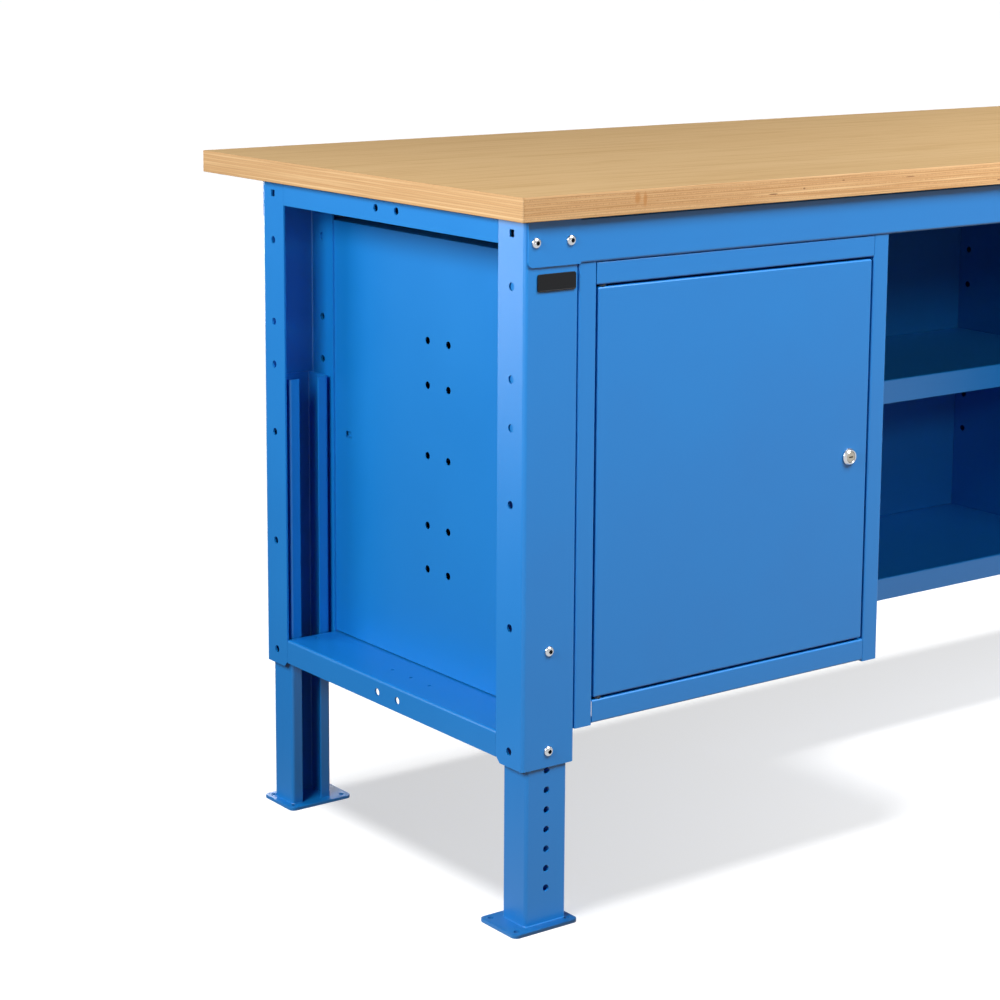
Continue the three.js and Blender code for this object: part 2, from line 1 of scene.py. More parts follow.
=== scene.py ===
# %% [markdown]
# # A folded-steel workbench
# The real bench is bent from sheet steel: four channel posts, four legs that slide inside them, rails, a
# cabinet with a door at each end and two open shelves between, all in one blue powder coat, under a thick
# plywood board.
# The CAD model holds every part as a plain solid at its true place. This lesson dresses those solids: the
# bends get their radius, the holes are punched through thin sheet, and each finish gets its own grain.

# %% Load the CAD frame
import math

import bmesh
import bpy
from mathutils import Matrix, Vector


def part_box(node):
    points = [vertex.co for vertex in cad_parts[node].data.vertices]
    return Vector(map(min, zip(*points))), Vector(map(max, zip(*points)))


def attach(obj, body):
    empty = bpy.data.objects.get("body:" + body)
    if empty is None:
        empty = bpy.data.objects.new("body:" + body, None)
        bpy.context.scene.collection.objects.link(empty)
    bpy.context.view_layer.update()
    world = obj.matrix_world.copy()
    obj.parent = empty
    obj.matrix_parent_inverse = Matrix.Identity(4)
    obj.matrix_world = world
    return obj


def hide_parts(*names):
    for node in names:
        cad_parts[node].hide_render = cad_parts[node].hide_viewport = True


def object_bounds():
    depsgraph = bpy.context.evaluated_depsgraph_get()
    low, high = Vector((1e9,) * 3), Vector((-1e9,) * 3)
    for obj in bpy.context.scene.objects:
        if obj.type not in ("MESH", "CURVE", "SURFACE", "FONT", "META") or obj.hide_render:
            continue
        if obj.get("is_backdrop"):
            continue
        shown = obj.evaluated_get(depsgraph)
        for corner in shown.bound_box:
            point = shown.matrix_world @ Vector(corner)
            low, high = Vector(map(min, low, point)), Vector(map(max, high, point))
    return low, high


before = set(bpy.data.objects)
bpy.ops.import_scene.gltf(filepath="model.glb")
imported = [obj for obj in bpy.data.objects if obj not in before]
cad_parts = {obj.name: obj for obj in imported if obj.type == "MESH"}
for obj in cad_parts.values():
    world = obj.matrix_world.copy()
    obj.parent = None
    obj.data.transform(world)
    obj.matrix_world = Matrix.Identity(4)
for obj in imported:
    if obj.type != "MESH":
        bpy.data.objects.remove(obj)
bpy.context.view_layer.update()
MM = 0.001
FRAME_BODY = "frame"

# %% [markdown]
# ## Shader maths that reads like arithmetic
# A finish is a tree of nodes, and most of its nodes are sums. A small class holds one output socket and
# overloads the operators, so `1 - mask * 0.5` adds its own Math nodes. A second class holds the material
# and one method that adds any other node: first its settings, then the values or links of its sockets.

# %% A wire and a finish


class Wire:
    """One output socket, so that shader maths can be written as arithmetic."""

    def __init__(self, finish, socket):
        self.finish = finish
        self.socket = socket

    def maths(self, operation, *values):
        settings = {"operation": operation}
        return self.finish.node("ShaderNodeMath", settings, dict(enumerate(values)))

    def __add__(self, other):
        return self.maths("ADD", self, other)

    def __sub__(self, other):
        return self.maths("SUBTRACT", self, other)

    def __rsub__(self, other):
        return self.maths("SUBTRACT", other, self)

    def __mul__(self, other):
        return self.maths("MULTIPLY", self, other)

    def __truediv__(self, other):
        return self.maths("DIVIDE", self, other)

    def __rtruediv__(self, other):
        return self.maths("DIVIDE", other, self)

    def __abs__(self):
        return self.maths("ABSOLUTE", self)

    __radd__ = __add__
    __rmul__ = __mul__

    def clamped(self):
        return self.finish.node("ShaderNodeClamp", {}, {"Value": self})


class Finish:
    """A procedural material and the one method that adds nodes to it."""

    def __init__(self, name, kind="materials"):
        self.material = getattr(bpy.data, kind).new(name)
        self.material.use_nodes = True
        self.tree = self.material.node_tree
        self.tree.nodes.clear()

    def node(self, kind, settings=None, sockets=None, out=0):
        made = self.tree.nodes.new(kind)
        for key, value in (settings or {}).items():
            if key == "stops":
                self.set_stops(made.color_ramp, value)
            else:
                setattr(made, key, value)
        for key, value in (sockets or {}).items():
            socket = self.find(made.inputs, key)
            if isinstance(value, Wire):
                self.tree.links.new(value.socket, socket)
            else:
                socket.default_value = value
        return None if out is None else Wire(self, self.find(made.outputs, out))

    @staticmethod
    def find(sockets, key):
        if isinstance(key, int):
            return sockets[key]
        by_identifier = [s for s in sockets if s.identifier == key]
        return (by_identifier or [s for s in sockets if s.name == key])[0]

    @staticmethod
    def set_stops(ramp, stops):
        while len(ramp.elements) < len(stops):
            ramp.elements.new(1.0)
        for element, (place, colour) in zip(ramp.elements, stops):
            element.position = place
            element.color = colour

    def place(self, scale=(1, 1, 1), location=(0, 0, 0)):
        """Object coordinates in metres, stretched to suit a grain."""
        coordinates = self.node("ShaderNodeTexCoord", out="Object")
        sockets = {"Vector": coordinates, "Scale": scale, "Location": location}
        return self.node("ShaderNodeMapping", {}, sockets)

    def noise(self, vector, scale, detail=2.0, distortion=0.0):
        sockets = {"Vector": vector, "Scale": scale, "Detail": detail, "Distortion": distortion}
        return self.node("ShaderNodeTexNoise", {}, sockets)

    def ramp(self, value, low, high):
        """0 below low, 1 above high, and a smooth change between."""
        settings = {"interpolation_type": "SMOOTHSTEP"}
        return self.node("ShaderNodeMapRange", settings, {"Value": value, "From Min": low, "From Max": high})

    def mix(self, factor, first, second, blend="MIX"):
        settings = {"data_type": "RGBA", "blend_type": blend}
        sockets = {"Factor_Float": factor, "A_Color": first, "B_Color": second}
        return self.node("ShaderNodeMix", settings, sockets, out="Result_Color")

    def bump(self, height, strength, distance):
        sockets = {"Strength": strength, "Distance": distance, "Height": height}
        return self.node("ShaderNodeBump", {}, sockets)

    def surface(self, sockets):
        shader = self.node("ShaderNodeBsdfPrincipled", {}, sockets)
        self.node("ShaderNodeOutputMaterial", {}, {"Surface": shader}, out=None)
        return self.material


def srgb(red, green, blue):
    """A colour as it reads on a screen, 0 to 255, turned into the light values that Blender mixes."""
    parts = [value / 255 for value in (red, green, blue)]
    return (*[v / 12.92 if v < 0.04045 else ((v + 0.055) / 1.055) ** 2.4 for v in parts], 1.0)


print("a mid grey of 128 is", round(srgb(128, 128, 128)[0], 3), "as light")

# %% [markdown]
# ## The blue powder coat
# Powder coat is baked plastic: an even colour, half glossy, with a faint orange peel where the grains
# melted together. An image would repeat, so two noises do it: one of about a millimetre for the peel, which
# feeds only a bump, and a broad one for the slight change of colour and gloss that thickness brings.

# %% Blue powder coat


def blue_powder_coat():
    paint = Finish("blue powder coat")
    film = paint.noise(paint.place(), scale=7.0, detail=3.0)
    peel = paint.noise(paint.place(), scale=900.0, detail=2.0)
    colour = paint.mix(film, srgb(9, 121, 200), srgb(15, 128, 207))
    return paint.surface({
        "Base Color": colour,
        "Roughness": 0.34 + 0.08 * film,
        "Normal": paint.bump(peel, strength=0.10, distance=0.0003),
        "Specular IOR Level": 0.75,
    })


BLUE_PAINT = blue_powder_coat()
print("made", BLUE_PAINT.name, "with", len(BLUE_PAINT.node_tree.nodes), "nodes")

# %% [markdown]
# ## Bright metal, the lock's nickel face and the black plate
# The screws and the lock are plated, so they are mirrors with a little haze and very fine wear. The face of
# the lock's plug is warmer and duller, and the plate on the post is black plastic with a satin skin.

# %% Bright zinc, nickel and black plastic


def plated(name, colour, haze):
    metal = Finish(name)
    wear = metal.noise(metal.place(), scale=420.0, detail=3.0)
    scratches = metal.noise(metal.place(scale=(1, 1, 14)), scale=380.0, detail=2.0)
    return metal.surface({
        "Base Color": metal.mix(wear, srgb(*colour), srgb(*[c + 10 for c in colour])),
        "Metallic": 1.0,
        "Roughness": haze + 0.08 * wear,
        "Normal": metal.bump(scratches, strength=0.05, distance=0.0001),
    })


def satin_black():
    plastic = Finish("satin black plastic")
    grain = plastic.noise(plastic.place(), scale=1800.0, detail=2.0)
    return plastic.surface({
        "Base Color": plastic.mix(grain, srgb(14, 15, 18), srgb(22, 23, 26)),
        "Roughness": 0.30 + 0.12 * grain,
        "Normal": plastic.bump(grain, strength=0.08, distance=0.0001),
        "Specular IOR Level": 0.2,
    })


BRIGHT_ZINC = plated("bright zinc", (198, 200, 203), haze=0.12)
NICKEL = plated("nickel plug face", (176, 170, 158), haze=0.30)
# A dark steel for the screws' sockets and the doors' hinge pins: painted shade, standing in for the shade in the
# sockets and in the gap round each door.
PAINTED_SHADE_STEEL = plated("oiled steel", (52, 54, 58), haze=0.42)
BLACK_PLASTIC = satin_black()
print("made", BRIGHT_ZINC.name, NICKEL.name, PAINTED_SHADE_STEEL.name, BLACK_PLASTIC.name, sep=", ")

# %% [markdown]
# ## Plywood, seen from above and from its edge
# The board is glued from thin sheets of beech whose grain runs by turns along and across the bench. From
# above there is one veneer with long, faint streaks. At an edge every sheet shows: long streaks where its
# grain runs along that edge, fine dots where it is cut across, and a thin dark line of glue between. The edge
# finish counts sheets by height, so its lines run on round the corners as they do in a real board.

# %% Plywood face
board_low, board_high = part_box("worktop")


def plywood_face():
    wood = Finish("plywood face")
    tone = wood.noise(wood.place(scale=(0.5, 2.4, 1)), scale=2.2, detail=3.0, distortion=0.6)
    streaks = wood.noise(wood.place(scale=(1, 26, 1)), scale=5.0, detail=5.0, distortion=0.8)
    flecks = wood.noise(wood.place(scale=(1, 9, 1)), scale=160.0, detail=3.0)
    pores = wood.ramp(flecks, 0.60, 0.74)
    broad = wood.mix(tone, srgb(200, 165, 116), srgb(210, 178, 131))
    streaked = wood.mix(wood.ramp(streaks, 0.46, 0.70) * 0.45, broad, srgb(182, 141, 92))
    return wood.surface({
        "Base Color": wood.mix(pores * 0.22, streaked, srgb(160, 120, 76)),
        "Roughness": 0.62 + 0.12 * streaks,
        "Normal": wood.bump(flecks, strength=0.12, distance=0.0003),
        "Specular IOR Level": 0.12,
    })


PLYWOOD_FACE = plywood_face()
print("board", [round(v / MM) for v in board_high - board_low], "mm")

# %% Plywood edge
PLY_COUNT = 11
EDGE_MARKS = (  # on the front edge: distance along X, height from the floor, half length, half height, mm
    (-827.0, 904.5, 5.0, 8.0),
    (-815.0, 902.0, 3.4, 10.0),
    (-605.0, 896.0, 8.0, 0.9),
    (-552.0, 900.3, 2.0, 1.1),
    (-483.0, 907.0, 2.6, 0.9),
    (-361.0, 905.0, 9.0, 0.6),
    (-191.0, 891.5, 3.0, 1.0),
)


def plywood_edge():
    wood = Finish("plywood edge")
    place = wood.place()
    x, y, z = (wood.node("ShaderNodeSeparateXYZ", {}, {"Vector": place}, out=axis) for axis in "XYZ")
    along = x + y
    sway = wood.noise(wood.place(scale=(1, 1, 0)), scale=6.0, detail=2.0) - 0.5
    ply = (z - board_low.z) / ((board_high.z - board_low.z) / PLY_COUNT) + 0.5 * sway
    number = ply.maths("FLOOR", ply)
    within = ply - number
    glue = 1 - wood.ramp(within.maths("MINIMUM", within, 1 - within), 0.02, 0.11)
    chance = wood.node("ShaderNodeTexWhiteNoise", {"noise_dimensions": "1D"}, {"W": number}, out="Value")

    facing = wood.node("ShaderNodeNewGeometry", out="Normal")
    facing_x = abs(wood.node("ShaderNodeSeparateXYZ", {}, {"Vector": facing}, out="X"))
    at_end = wood.ramp(facing_x, 0.4, 0.6)
    crossed = abs(number.maths("FLOORED_MODULO", number, 2.0) - at_end)

    streak_place = wood.node("ShaderNodeCombineXYZ", {}, {"X": along * 5.0, "Z": z * 420.0})
    streaks = wood.noise(streak_place, scale=1.0, detail=5.0, distortion=0.4)
    dots = wood.noise(wood.place(), scale=900.0, detail=2.0)
    long_grain = wood.mix(wood.ramp(streaks, 0.36, 0.68), srgb(229, 189, 137), srgb(188, 138, 84))
    end_grain = wood.mix(wood.ramp(dots, 0.38, 0.66), srgb(214, 168, 114), srgb(182, 132, 82))
    sheets = wood.mix(crossed * (0.45 + 0.5 * chance), long_grain, end_grain)
    toned = wood.mix(chance * 0.5, sheets, srgb(198, 148, 94))
    colour = wood.mix(glue * (0.16 + 0.6 * streaks), toned, srgb(128, 84, 44))

    # The board's ends are mixed towards a greyer tone: painted light, standing in for how the side light falls on them.
    colour = wood.mix(at_end * 0.3, colour, srgb(184, 160, 124))
    front = 1 - wood.ramp(y, -0.01, 0.01)
    for mark_x, mark_z, half_length, half_height in EDGE_MARKS:
        off_x = (x - mark_x * MM) / (half_length * MM)
        off_z = (z - mark_z * MM) / (half_height * MM)
        distance = off_x * off_x + off_z * off_z
        is_burl = half_height > half_length
        spot = (1 - wood.ramp(distance + streaks * 0.8 - 0.4, 0.0 if is_burl else 0.3, 1.3)) * front
        tone = srgb(186, 122, 56) if is_burl else srgb(120, 74, 36)
        colour = wood.mix(spot * (0.45 + 0.5 * streaks if is_burl else 0.85), colour, tone)
    return wood.surface({
        "Base Color": colour,
        "Roughness": 0.55 + 0.12 * dots,
        "Normal": wood.bump(streaks, strength=0.15, distance=0.0004),
        "Specular IOR Level": 0.3,
    })


PLYWOOD_EDGE = plywood_edge()
print("an edge of", PLY_COUNT, "plies with", len(EDGE_MARKS), "marks")

# %% [markdown]
# ## Meshes: making, finishing and handing over
# Each piece is a small mesh built in code. Its place is in its vertices and its object stays at the origin,
# as a CAD node's does. Bends are shaded smooth and cut edges sharp, and weighted normals keep the wide flat
# faces flat. The last step for every piece says what it rides on and which CAD nodes it stands for.

# %% From a bmesh to a finished piece
SHARP_ANGLE = math.radians(32)


def object_from(name, shape):
    bmesh.ops.recalc_face_normals(shape, faces=shape.faces)
    mesh = bpy.data.meshes.new(name)
    shape.to_mesh(mesh)
    shape.free()
    made = bpy.data.objects.new(name, mesh)
    bpy.context.scene.collection.objects.link(made)
    return made


def settle(piece):
    """Turns a piece's modifiers into plain mesh and removes them."""
    graph = bpy.context.evaluated_depsgraph_get()
    mesh = bpy.data.meshes.new_from_object(piece.evaluated_get(graph), depsgraph=graph)
    piece.modifiers.clear()
    plain, piece.data = piece.data, mesh
    bpy.data.meshes.remove(plain)
    mesh.name = piece.name
    return piece


def smooth_bends(piece):
    piece.data.shade_smooth()
    piece.data.set_sharp_from_angle(angle=SHARP_ANGLE)
    weighted = piece.modifiers.new("flat faces stay flat", "WEIGHTED_NORMAL")
    weighted.keep_sharp = True
    return settle(piece)


def ease_edges(piece, width, segments=2, angle=40):
    bevel = piece.modifiers.new("eased edges", "BEVEL")
    bevel.width = width
    bevel.segments = segments
    bevel.limit_method = "ANGLE"
    bevel.angle_limit = math.radians(angle)
    return settle(piece)


def combine(piece, operation, others):
    """A boolean of closed meshes. The others are used up."""
    for other in others:
        boolean = piece.modifiers.new(operation.lower(), "BOOLEAN")
        boolean.operation = operation
        boolean.solver = "EXACT"
        boolean.object = other
    settle(piece)
    for other in others:
        bpy.data.objects.remove(other)
    return piece


def join(piece, *others):
    return combine(piece, "UNION", others)


def cut_away(piece, *tools):
    return combine(piece, "DIFFERENCE", tools)


def box_between(name, low, high):
    shape = bmesh.new()
    bmesh.ops.create_cube(shape, size=1.0)
    size, centre = Vector(high) - Vector(low), (Vector(high) + Vector(low)) / 2
    shape.transform(Matrix.Translation(centre) @ Matrix.Diagonal((*size, 1)))
    return object_from(name, shape)


def copy_of(piece, name, matrix):
    made = piece.copy()
    made.name = name
    made.data = piece.data.copy()
    made.data.name = name
    made.data.transform(matrix)
    bpy.context.scene.collection.objects.link(made)
    return made


def hand_over(piece, body, slot, finish, *nodes):
    if finish is not None:
        piece.data.materials.clear()
        piece.data.materials.append(finish)
    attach(piece, body)
    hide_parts(*nodes)
    return piece


print("sharp edges start at", round(math.degrees(SHARP_ANGLE)), "degrees")

# %% [markdown]
# ## Folded sheet
# Nearly every part is one flat sheet bent along straight lines. Its section is drawn as a path along the
# outer face with the sheet on the path's left, each bend becomes an arc outside and a tighter arc inside, and
# the section is pushed along the bench. The CAD solids have sharp bends: this is where they get a radius.

# %% A folded section
BEND_STEPS = 5


def bend_arc(before, corner, after, radius):
    into = (corner - before).normalized()
    out = (after - corner).normalized()
    turn = math.atan2(into.x * out.y - into.y * out.x, into.dot(out))
    if radius <= 0 or abs(turn) < 1e-6:
        return [corner]
    start = corner - into * radius * math.tan(abs(turn) / 2)
    side = Vector((-into.y, into.x)) * math.copysign(1, turn)
    centre = start + side * radius
    spoke = start - centre
    return [centre + Matrix.Rotation(turn * i / BEND_STEPS, 2) @ spoke for i in range(BEND_STEPS + 1)]


def folded_outline(path, sheet, bend, grow=0.0):
    """The closed section of a folded sheet. Growing it swells both faces and both ends."""
    path = [Vector(point) for point in path]
    ways = [(b - a).normalized() for a, b in zip(path, path[1:])]
    lefts = [Vector((-way.y, way.x)) for way in ways]
    path[0] = path[0] - ways[0] * grow
    path[-1] = path[-1] + ways[-1] * grow
    befores, afters = [lefts[0]] + lefts, lefts + [lefts[-1]]
    mitres = [(b + a) / (1 + b.dot(a)) for b, a in zip(befores, afters)]
    outer = [point - mitre * grow for point, mitre in zip(path, mitres)]
    inner = [point + mitre * (sheet + grow) for point, mitre in zip(path, mitres)]
    faces = [[outer[0]], [inner[0]]]
    for i in range(1, len(path) - 1):
        inside_left = ways[i - 1].x * ways[i].y - ways[i - 1].y * ways[i].x > 0
        radii = (bend + grow, bend - sheet - grow)
        for line, face, radius in zip((outer, inner), faces, radii if inside_left else radii[::-1]):
            face += bend_arc(line[i - 1], line[i], line[i + 1], radius)
    return faces[0] + [outer[-1]] + [inner[-1]] + faces[1][::-1]


AXES = {"x": (1, 2, 0), "y": (0, 2, 1), "z": (0, 1, 2)}  # the axes of u, v and the push


def pushed(axis, *levels):
    """A solid through outlines at levels along an axis, each given as (level, outline)."""
    shape = bmesh.new()
    rings = []
    for level, outline in levels:
        ring = []
        for u, v in outline:
            place = [0.0, 0.0, 0.0]
            for index, value in zip(AXES[axis], (u, v, level)):
                place[index] = value
            ring.append(shape.verts.new(place))
        rings.append(ring)
    shape.faces.new(rings[0])
    shape.faces.new(rings[-1])
    for ring, above in zip(rings, rings[1:]):
        for i in range(len(ring)):
            shape.faces.new((ring[i - 1], ring[i], above[i], above[i - 1]))
    return shape


def levels_between(low, high, places, outline):
    """Levels halfway between places, so that every hole is cut from faces of its own."""
    places = sorted(places)
    halfway = [(a + b) / 2 for a, b in zip(places, places[1:])]
    return [(level, outline) for level in (low, *halfway, high)]


def folded_piece(name, axis, span, path, sheet, bend):
    outline = folded_outline(path, sheet, bend)
    return object_from(name, pushed(axis, (span[0], outline), (span[1], outline)))


print("each bend has", BEND_STEPS, "steps")

# %% [markdown]
# ## A punch made with Geometry Nodes
# The bench is full of round holes: rows for the leg screws, columns in the side panels, pairs in the rails.
# Cutting each by hand would be many modifiers. One node tree does all of them: it reads a guide of points,
# each with a direction and a radius, sets a round punch on every point and takes all punches from the sheet.

# %% The punch tree


def tree_with(name, inputs):
    tree = bpy.data.node_groups.new(name, "GeometryNodeTree")
    for label, kind in inputs:
        tree.interface.new_socket(label, in_out="INPUT", socket_type=kind)
    tree.interface.new_socket("Geometry", in_out="OUTPUT", socket_type="NodeSocketGeometry")
    return tree, tree.nodes.new("NodeGroupInput").outputs, tree.nodes.new("NodeGroupOutput").inputs


def add_node(tree, kind, settings, sockets):
    made = tree.nodes.new(kind)
    for key, value in settings.items():
        setattr(made, key, value)
    for key, value in sockets.items():
        if isinstance(value, bpy.types.NodeSocket):
            tree.links.new(value, made.inputs[key])
        else:
            made.inputs[key].default_value = value
    return made.outputs


def read_attribute(tree, name, data_type):
    return add_node(tree, "GeometryNodeInputNamedAttribute", {"data_type": data_type}, {"Name": name})[0]


def set_on_points(tree, guide, instance, scale):
    """Instances on the guide's points, turned so that their Z runs along each point's direction."""
    points = add_node(tree, "GeometryNodeObjectInfo", {}, {"Object": guide})["Geometry"]
    way = read_attribute(tree, "way", "FLOAT_VECTOR")
    turn = add_node(tree, "FunctionNodeAlignRotationToVector", {"axis": "Z"}, {"Vector": way})[0]
    sockets = {"Points": points, "Instance": instance, "Rotation": turn, "Scale": scale}
    placed = add_node(tree, "GeometryNodeInstanceOnPoints", {}, sockets)[0]
    return add_node(tree, "GeometryNodeRealizeInstances", {}, {"Geometry": placed})[0]


def punch_tree():
    tree, given, result = tree_with("punched holes", [
        ("Sheet", "NodeSocketGeometry"),
        ("Guide", "NodeSocketObject"),
        ("Sides", "NodeSocketInt"),
        ("Depth", "NodeSocketFloat"),
        ("Finish", "NodeSocketMaterial"),
    ])
    sockets = {"Vertices": given["Sides"], "Radius": 1.0, "Depth": given["Depth"]}
    punch = add_node(tree, "GeometryNodeMeshCylinder", {}, sockets)["Mesh"]
    radius = read_attribute(tree, "radius", "FLOAT")
    scale = add_node(tree, "ShaderNodeCombineXYZ", {}, {"X": radius, "Y": radius, "Z": 1.0})[0]
    punches = set_on_points(tree, given["Guide"], punch, scale)
    cut = add_node(tree, "GeometryNodeMeshBoolean", {"operation": "DIFFERENCE", "solver": "EXACT"},
                   {"Mesh 1": given["Sheet"], "Mesh 2": punches})["Mesh"]
    whole = add_node(tree, "GeometryNodeRealizeInstances", {}, {"Geometry": cut})[0]
    dressed = add_node(tree, "GeometryNodeSetMaterial", {},
                       {"Geometry": whole, "Material": given["Finish"]})[0]
    tree.links.new(dressed, result["Geometry"])
    return tree


PUNCH = punch_tree()
print("the punch tree has", len(PUNCH.nodes), "nodes")

# %% Using a tree on a guide of points
HOLE_SIDES = 20


def guide_of(points):
    """A mesh of loose points. Each is (place, direction, radius)."""
    mesh = bpy.data.meshes.new("guide")
    mesh.from_pydata([place for place, _, _ in points], [], [])
    mesh.attributes.new("way", "FLOAT_VECTOR", "POINT")
    mesh.attributes.new("radius", "FLOAT", "POINT")
    for i, (_, way, radius) in enumerate(points):
        mesh.attributes["way"].data[i].vector = way
        mesh.attributes["radius"].data[i].value = radius
    guide = bpy.data.objects.new("guide", mesh)
    bpy.context.scene.collection.objects.link(guide)
    return guide


def run_tree(piece, tree, values):
    """Sets a tree's inputs by their identifiers, evaluates it and keeps the plain mesh."""
    modifier = piece.modifiers.new(tree.name, "NODES")
    modifier.node_group = tree
    for item in tree.interface.items_tree:
        if item.in_out == "INPUT" and item.name in values:
            modifier[item.identifier] = values[item.name]
    return settle(piece)


def punched(piece, points, depth, sides=HOLE_SIDES):
    guide = guide_of(points)
    values = {"Guide": guide, "Sides": sides, "Depth": depth, "Finish": BLUE_PAINT}
    run_tree(piece, PUNCH, values)
    bpy.data.objects.remove(guide)
    return piece


print("round holes have", HOLE_SIDES, "sides")

# %% [markdown]
# ## Posts
# A post is a wide channel, open towards the bench, with a row of holes down each flange for hooks and
# drawers and a square one at the top. Its lower free corners are cut off. All four are the same part: the
# rear ones are turned half round, so one mesh is made about its own middle and copied to the four corners.

# %% Places shared by the frame


def middle(node):
    low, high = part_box(node)
    return (low + high) / 2


CORNERS = ("left_front", "right_front", "left_rear", "right_rear")
SIDES = {"left": -1, "right": 1}
CROSSWAYS, LENGTHWAYS, UPRIGHT = (1, 0, 0), (0, 1, 0), (0, 0, 1)
post_low, post_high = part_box("left_front_post")
front_plane = post_low.y
back_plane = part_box("left_rear_post")[1].y
frame_middle = (front_plane + back_plane) / 2
frame_top = post_high.z
post_half = (post_high.x - post_low.x) / 2
post_flange = post_high.y - post_low.y
panel_low, panel_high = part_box("left_cabinet_outer_side")
middle_row = panel_low.z + 290 * MM
corner_frames = {}
for corner in CORNERS:
    rear = corner.endswith("rear")
    place = Vector((middle(f"{corner}_post").x, back_plane if rear else front_plane, 0))
    corner_frames[corner] = Matrix.Translation(place) @ Matrix.Rotation(math.pi if rear else 0, 4, "Z")
print("front plane", round(front_plane / MM, 1), "back plane", round(back_plane / MM, 1))

# %% One post, copied to four corners
POST_SHEET = 2.5 * MM
POST_BEND = 5.0 * MM
CORNER_CUT = 8 * MM
POST_HOLE = 5.1 * MM
SCREW_HOLE = 4.1 * MM
POST_ROWS = [middle_row + offset * MM for offset in (-154, 0, 94.5, 154)] + [frame_top - 80 * MM]
TOP_HOLE_DROP = 16 * MM
SQUARE_HALF = 4.6 * MM


def cut_free_corners(shape):
    away = Vector((0, 1, -1)).normalized()
    corner = Vector((0, post_flange - CORNER_CUT, post_low.z))
    everything = shape.verts[:] + shape.edges[:] + shape.faces[:]
    cut = bmesh.ops.bisect_plane(shape, geom=everything, plane_co=corner, plane_no=away, clear_outer=True)
    edges = [part for part in cut["geom_cut"] if isinstance(part, bmesh.types.BMEdge)]
    bmesh.ops.holes_fill(shape, edges=edges, sides=0)


def make_post():
    path = [(-post_half, post_flange), (-post_half, 0), (post_half, 0), (post_half, post_flange)]
    outline = folded_outline(path, POST_SHEET, POST_BEND)
    screw_rows = [middle(f"left_front_{row}_leg_screw").z for row in ("lower", "upper")]
    screw_x = abs(middle("left_front_outer_rail_screw").x - middle("left_front_post").x)
    screw_z = middle("left_front_outer_rail_screw").z
    flange_rows = [screw_rows[0]] + POST_ROWS
    top_hole = frame_top - TOP_HOLE_DROP
    shape = pushed("z", *levels_between(post_low.z, post_high.z, [*flange_rows, top_hole], outline))
    cut_free_corners(shape)
    post = object_from("post", shape)
    punched(post, [((0, post_flange / 2, z), CROSSWAYS, POST_HOLE) for z in flange_rows], depth=0.1)
    square = Vector((0, post_flange / 2, top_hole))
    reach = Vector((0.05, SQUARE_HALF, SQUARE_HALF))
    cut_away(post, box_between("square hole", square - reach, square + reach))
    web = [((0, 0, z), LENGTHWAYS, SCREW_HOLE) for z in screw_rows]
    web += [((side * screw_x, 0, screw_z), LENGTHWAYS, SCREW_HOLE) for side in (-1, 1)]
    punched(post, web, depth=0.01)
    return smooth_bends(post)


post = make_post()
for corner in CORNERS:
    made = copy_of(post, f"{corner}_folded_post", corner_frames[corner])
    hand_over(made, FRAME_BODY, "blue_paint", BLUE_PAINT, f"{corner}_post")
print("a post has", len(post.data.polygons), "faces")
bpy.data.objects.remove(post)

# %% [markdown]
# ## Legs and feet
# A leg is a lipped channel that slides inside its post, with a row of holes for the two screws that set the
# bench's height. It is welded to a foot plate, so its lower end swells into a small bead: the same section
# grown by a little, joined ring to ring to the plain section above. Each leg moves on its own joint.

# %% One leg, copied to four corners
LEG_SHEET = 2.5 * MM
LEG_BEND = 4.5 * MM
LEG_LIP = 16 * MM
LEG_HOLE = 4.5 * MM
LEG_FIRST_HOLE = 45 * MM
LEG_PITCH = 25.4 * MM
WELD = ((0.05, 0.6), (0.4, 0.5), (0.8, 0.2), (1.2, 0.0))  # height above the plate and swelling, mm
leg_low, leg_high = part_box("left_front_leg")
foot_low, foot_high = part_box("left_front_foot_plate")
leg_half = (leg_high.x - leg_low.x) / 2
leg_front, leg_back = leg_low.y - front_plane, leg_high.y - front_plane


def make_leg():
    path = [
        (-leg_half + LEG_LIP, leg_back), (-leg_half, leg_back), (-leg_half, leg_front),
        (leg_half, leg_front), (leg_half, leg_back), (leg_half - LEG_LIP, leg_back),
    ]
    levels = [
        (foot_high.z + rise * MM, folded_outline(path, LEG_SHEET, LEG_BEND, swell * MM))
        for rise, swell in WELD
    ]
    count = 1 + int((leg_high.z - leg_low.z - LEG_FIRST_HOLE - 25 * MM) / LEG_PITCH)
    heights = [leg_low.z + LEG_FIRST_HOLE + i * LEG_PITCH for i in range(count)]
    levels += levels_between(heights[0], leg_high.z, heights, levels[-1][1])[1:]
    leg = object_from("leg", pushed("z", *levels))
    punched(leg, [((0, leg_front, z), LENGTHWAYS, LEG_HOLE) for z in heights], depth=0.012)
    return smooth_bends(leg)


def rounded_rectangle(low, high, radius, steps=6):
    """A closed outline with round corners, from its low and high (u, v)."""
    (u0, v0), (u1, v1) = low, high
    spots = ((u1, v1, -1, -1), (u0, v1, 1, -1), (u0, v0, 1, 1), (u1, v0, -1, 1))
    outline = []
    for quarter, (u, v, inward_u, inward_v) in enumerate(spots):
        for step in range(steps + 1):
            angle = (quarter + step / steps) * math.pi / 2
            centre_u, centre_v = u + inward_u * radius, v + inward_v * radius
            outline.append((centre_u + radius * math.cos(angle), centre_v + radius * math.sin(angle)))
    return outline


leg = make_leg()
print("a leg is", round((leg_high.z - leg_low.z) / MM, 1), "mm long")

# %% One foot plate, and all four corners
FOOT_CORNER = 8 * MM
FOOT_HOLE = 4 * MM
FOOT_HOLE_INSET = 11 * MM


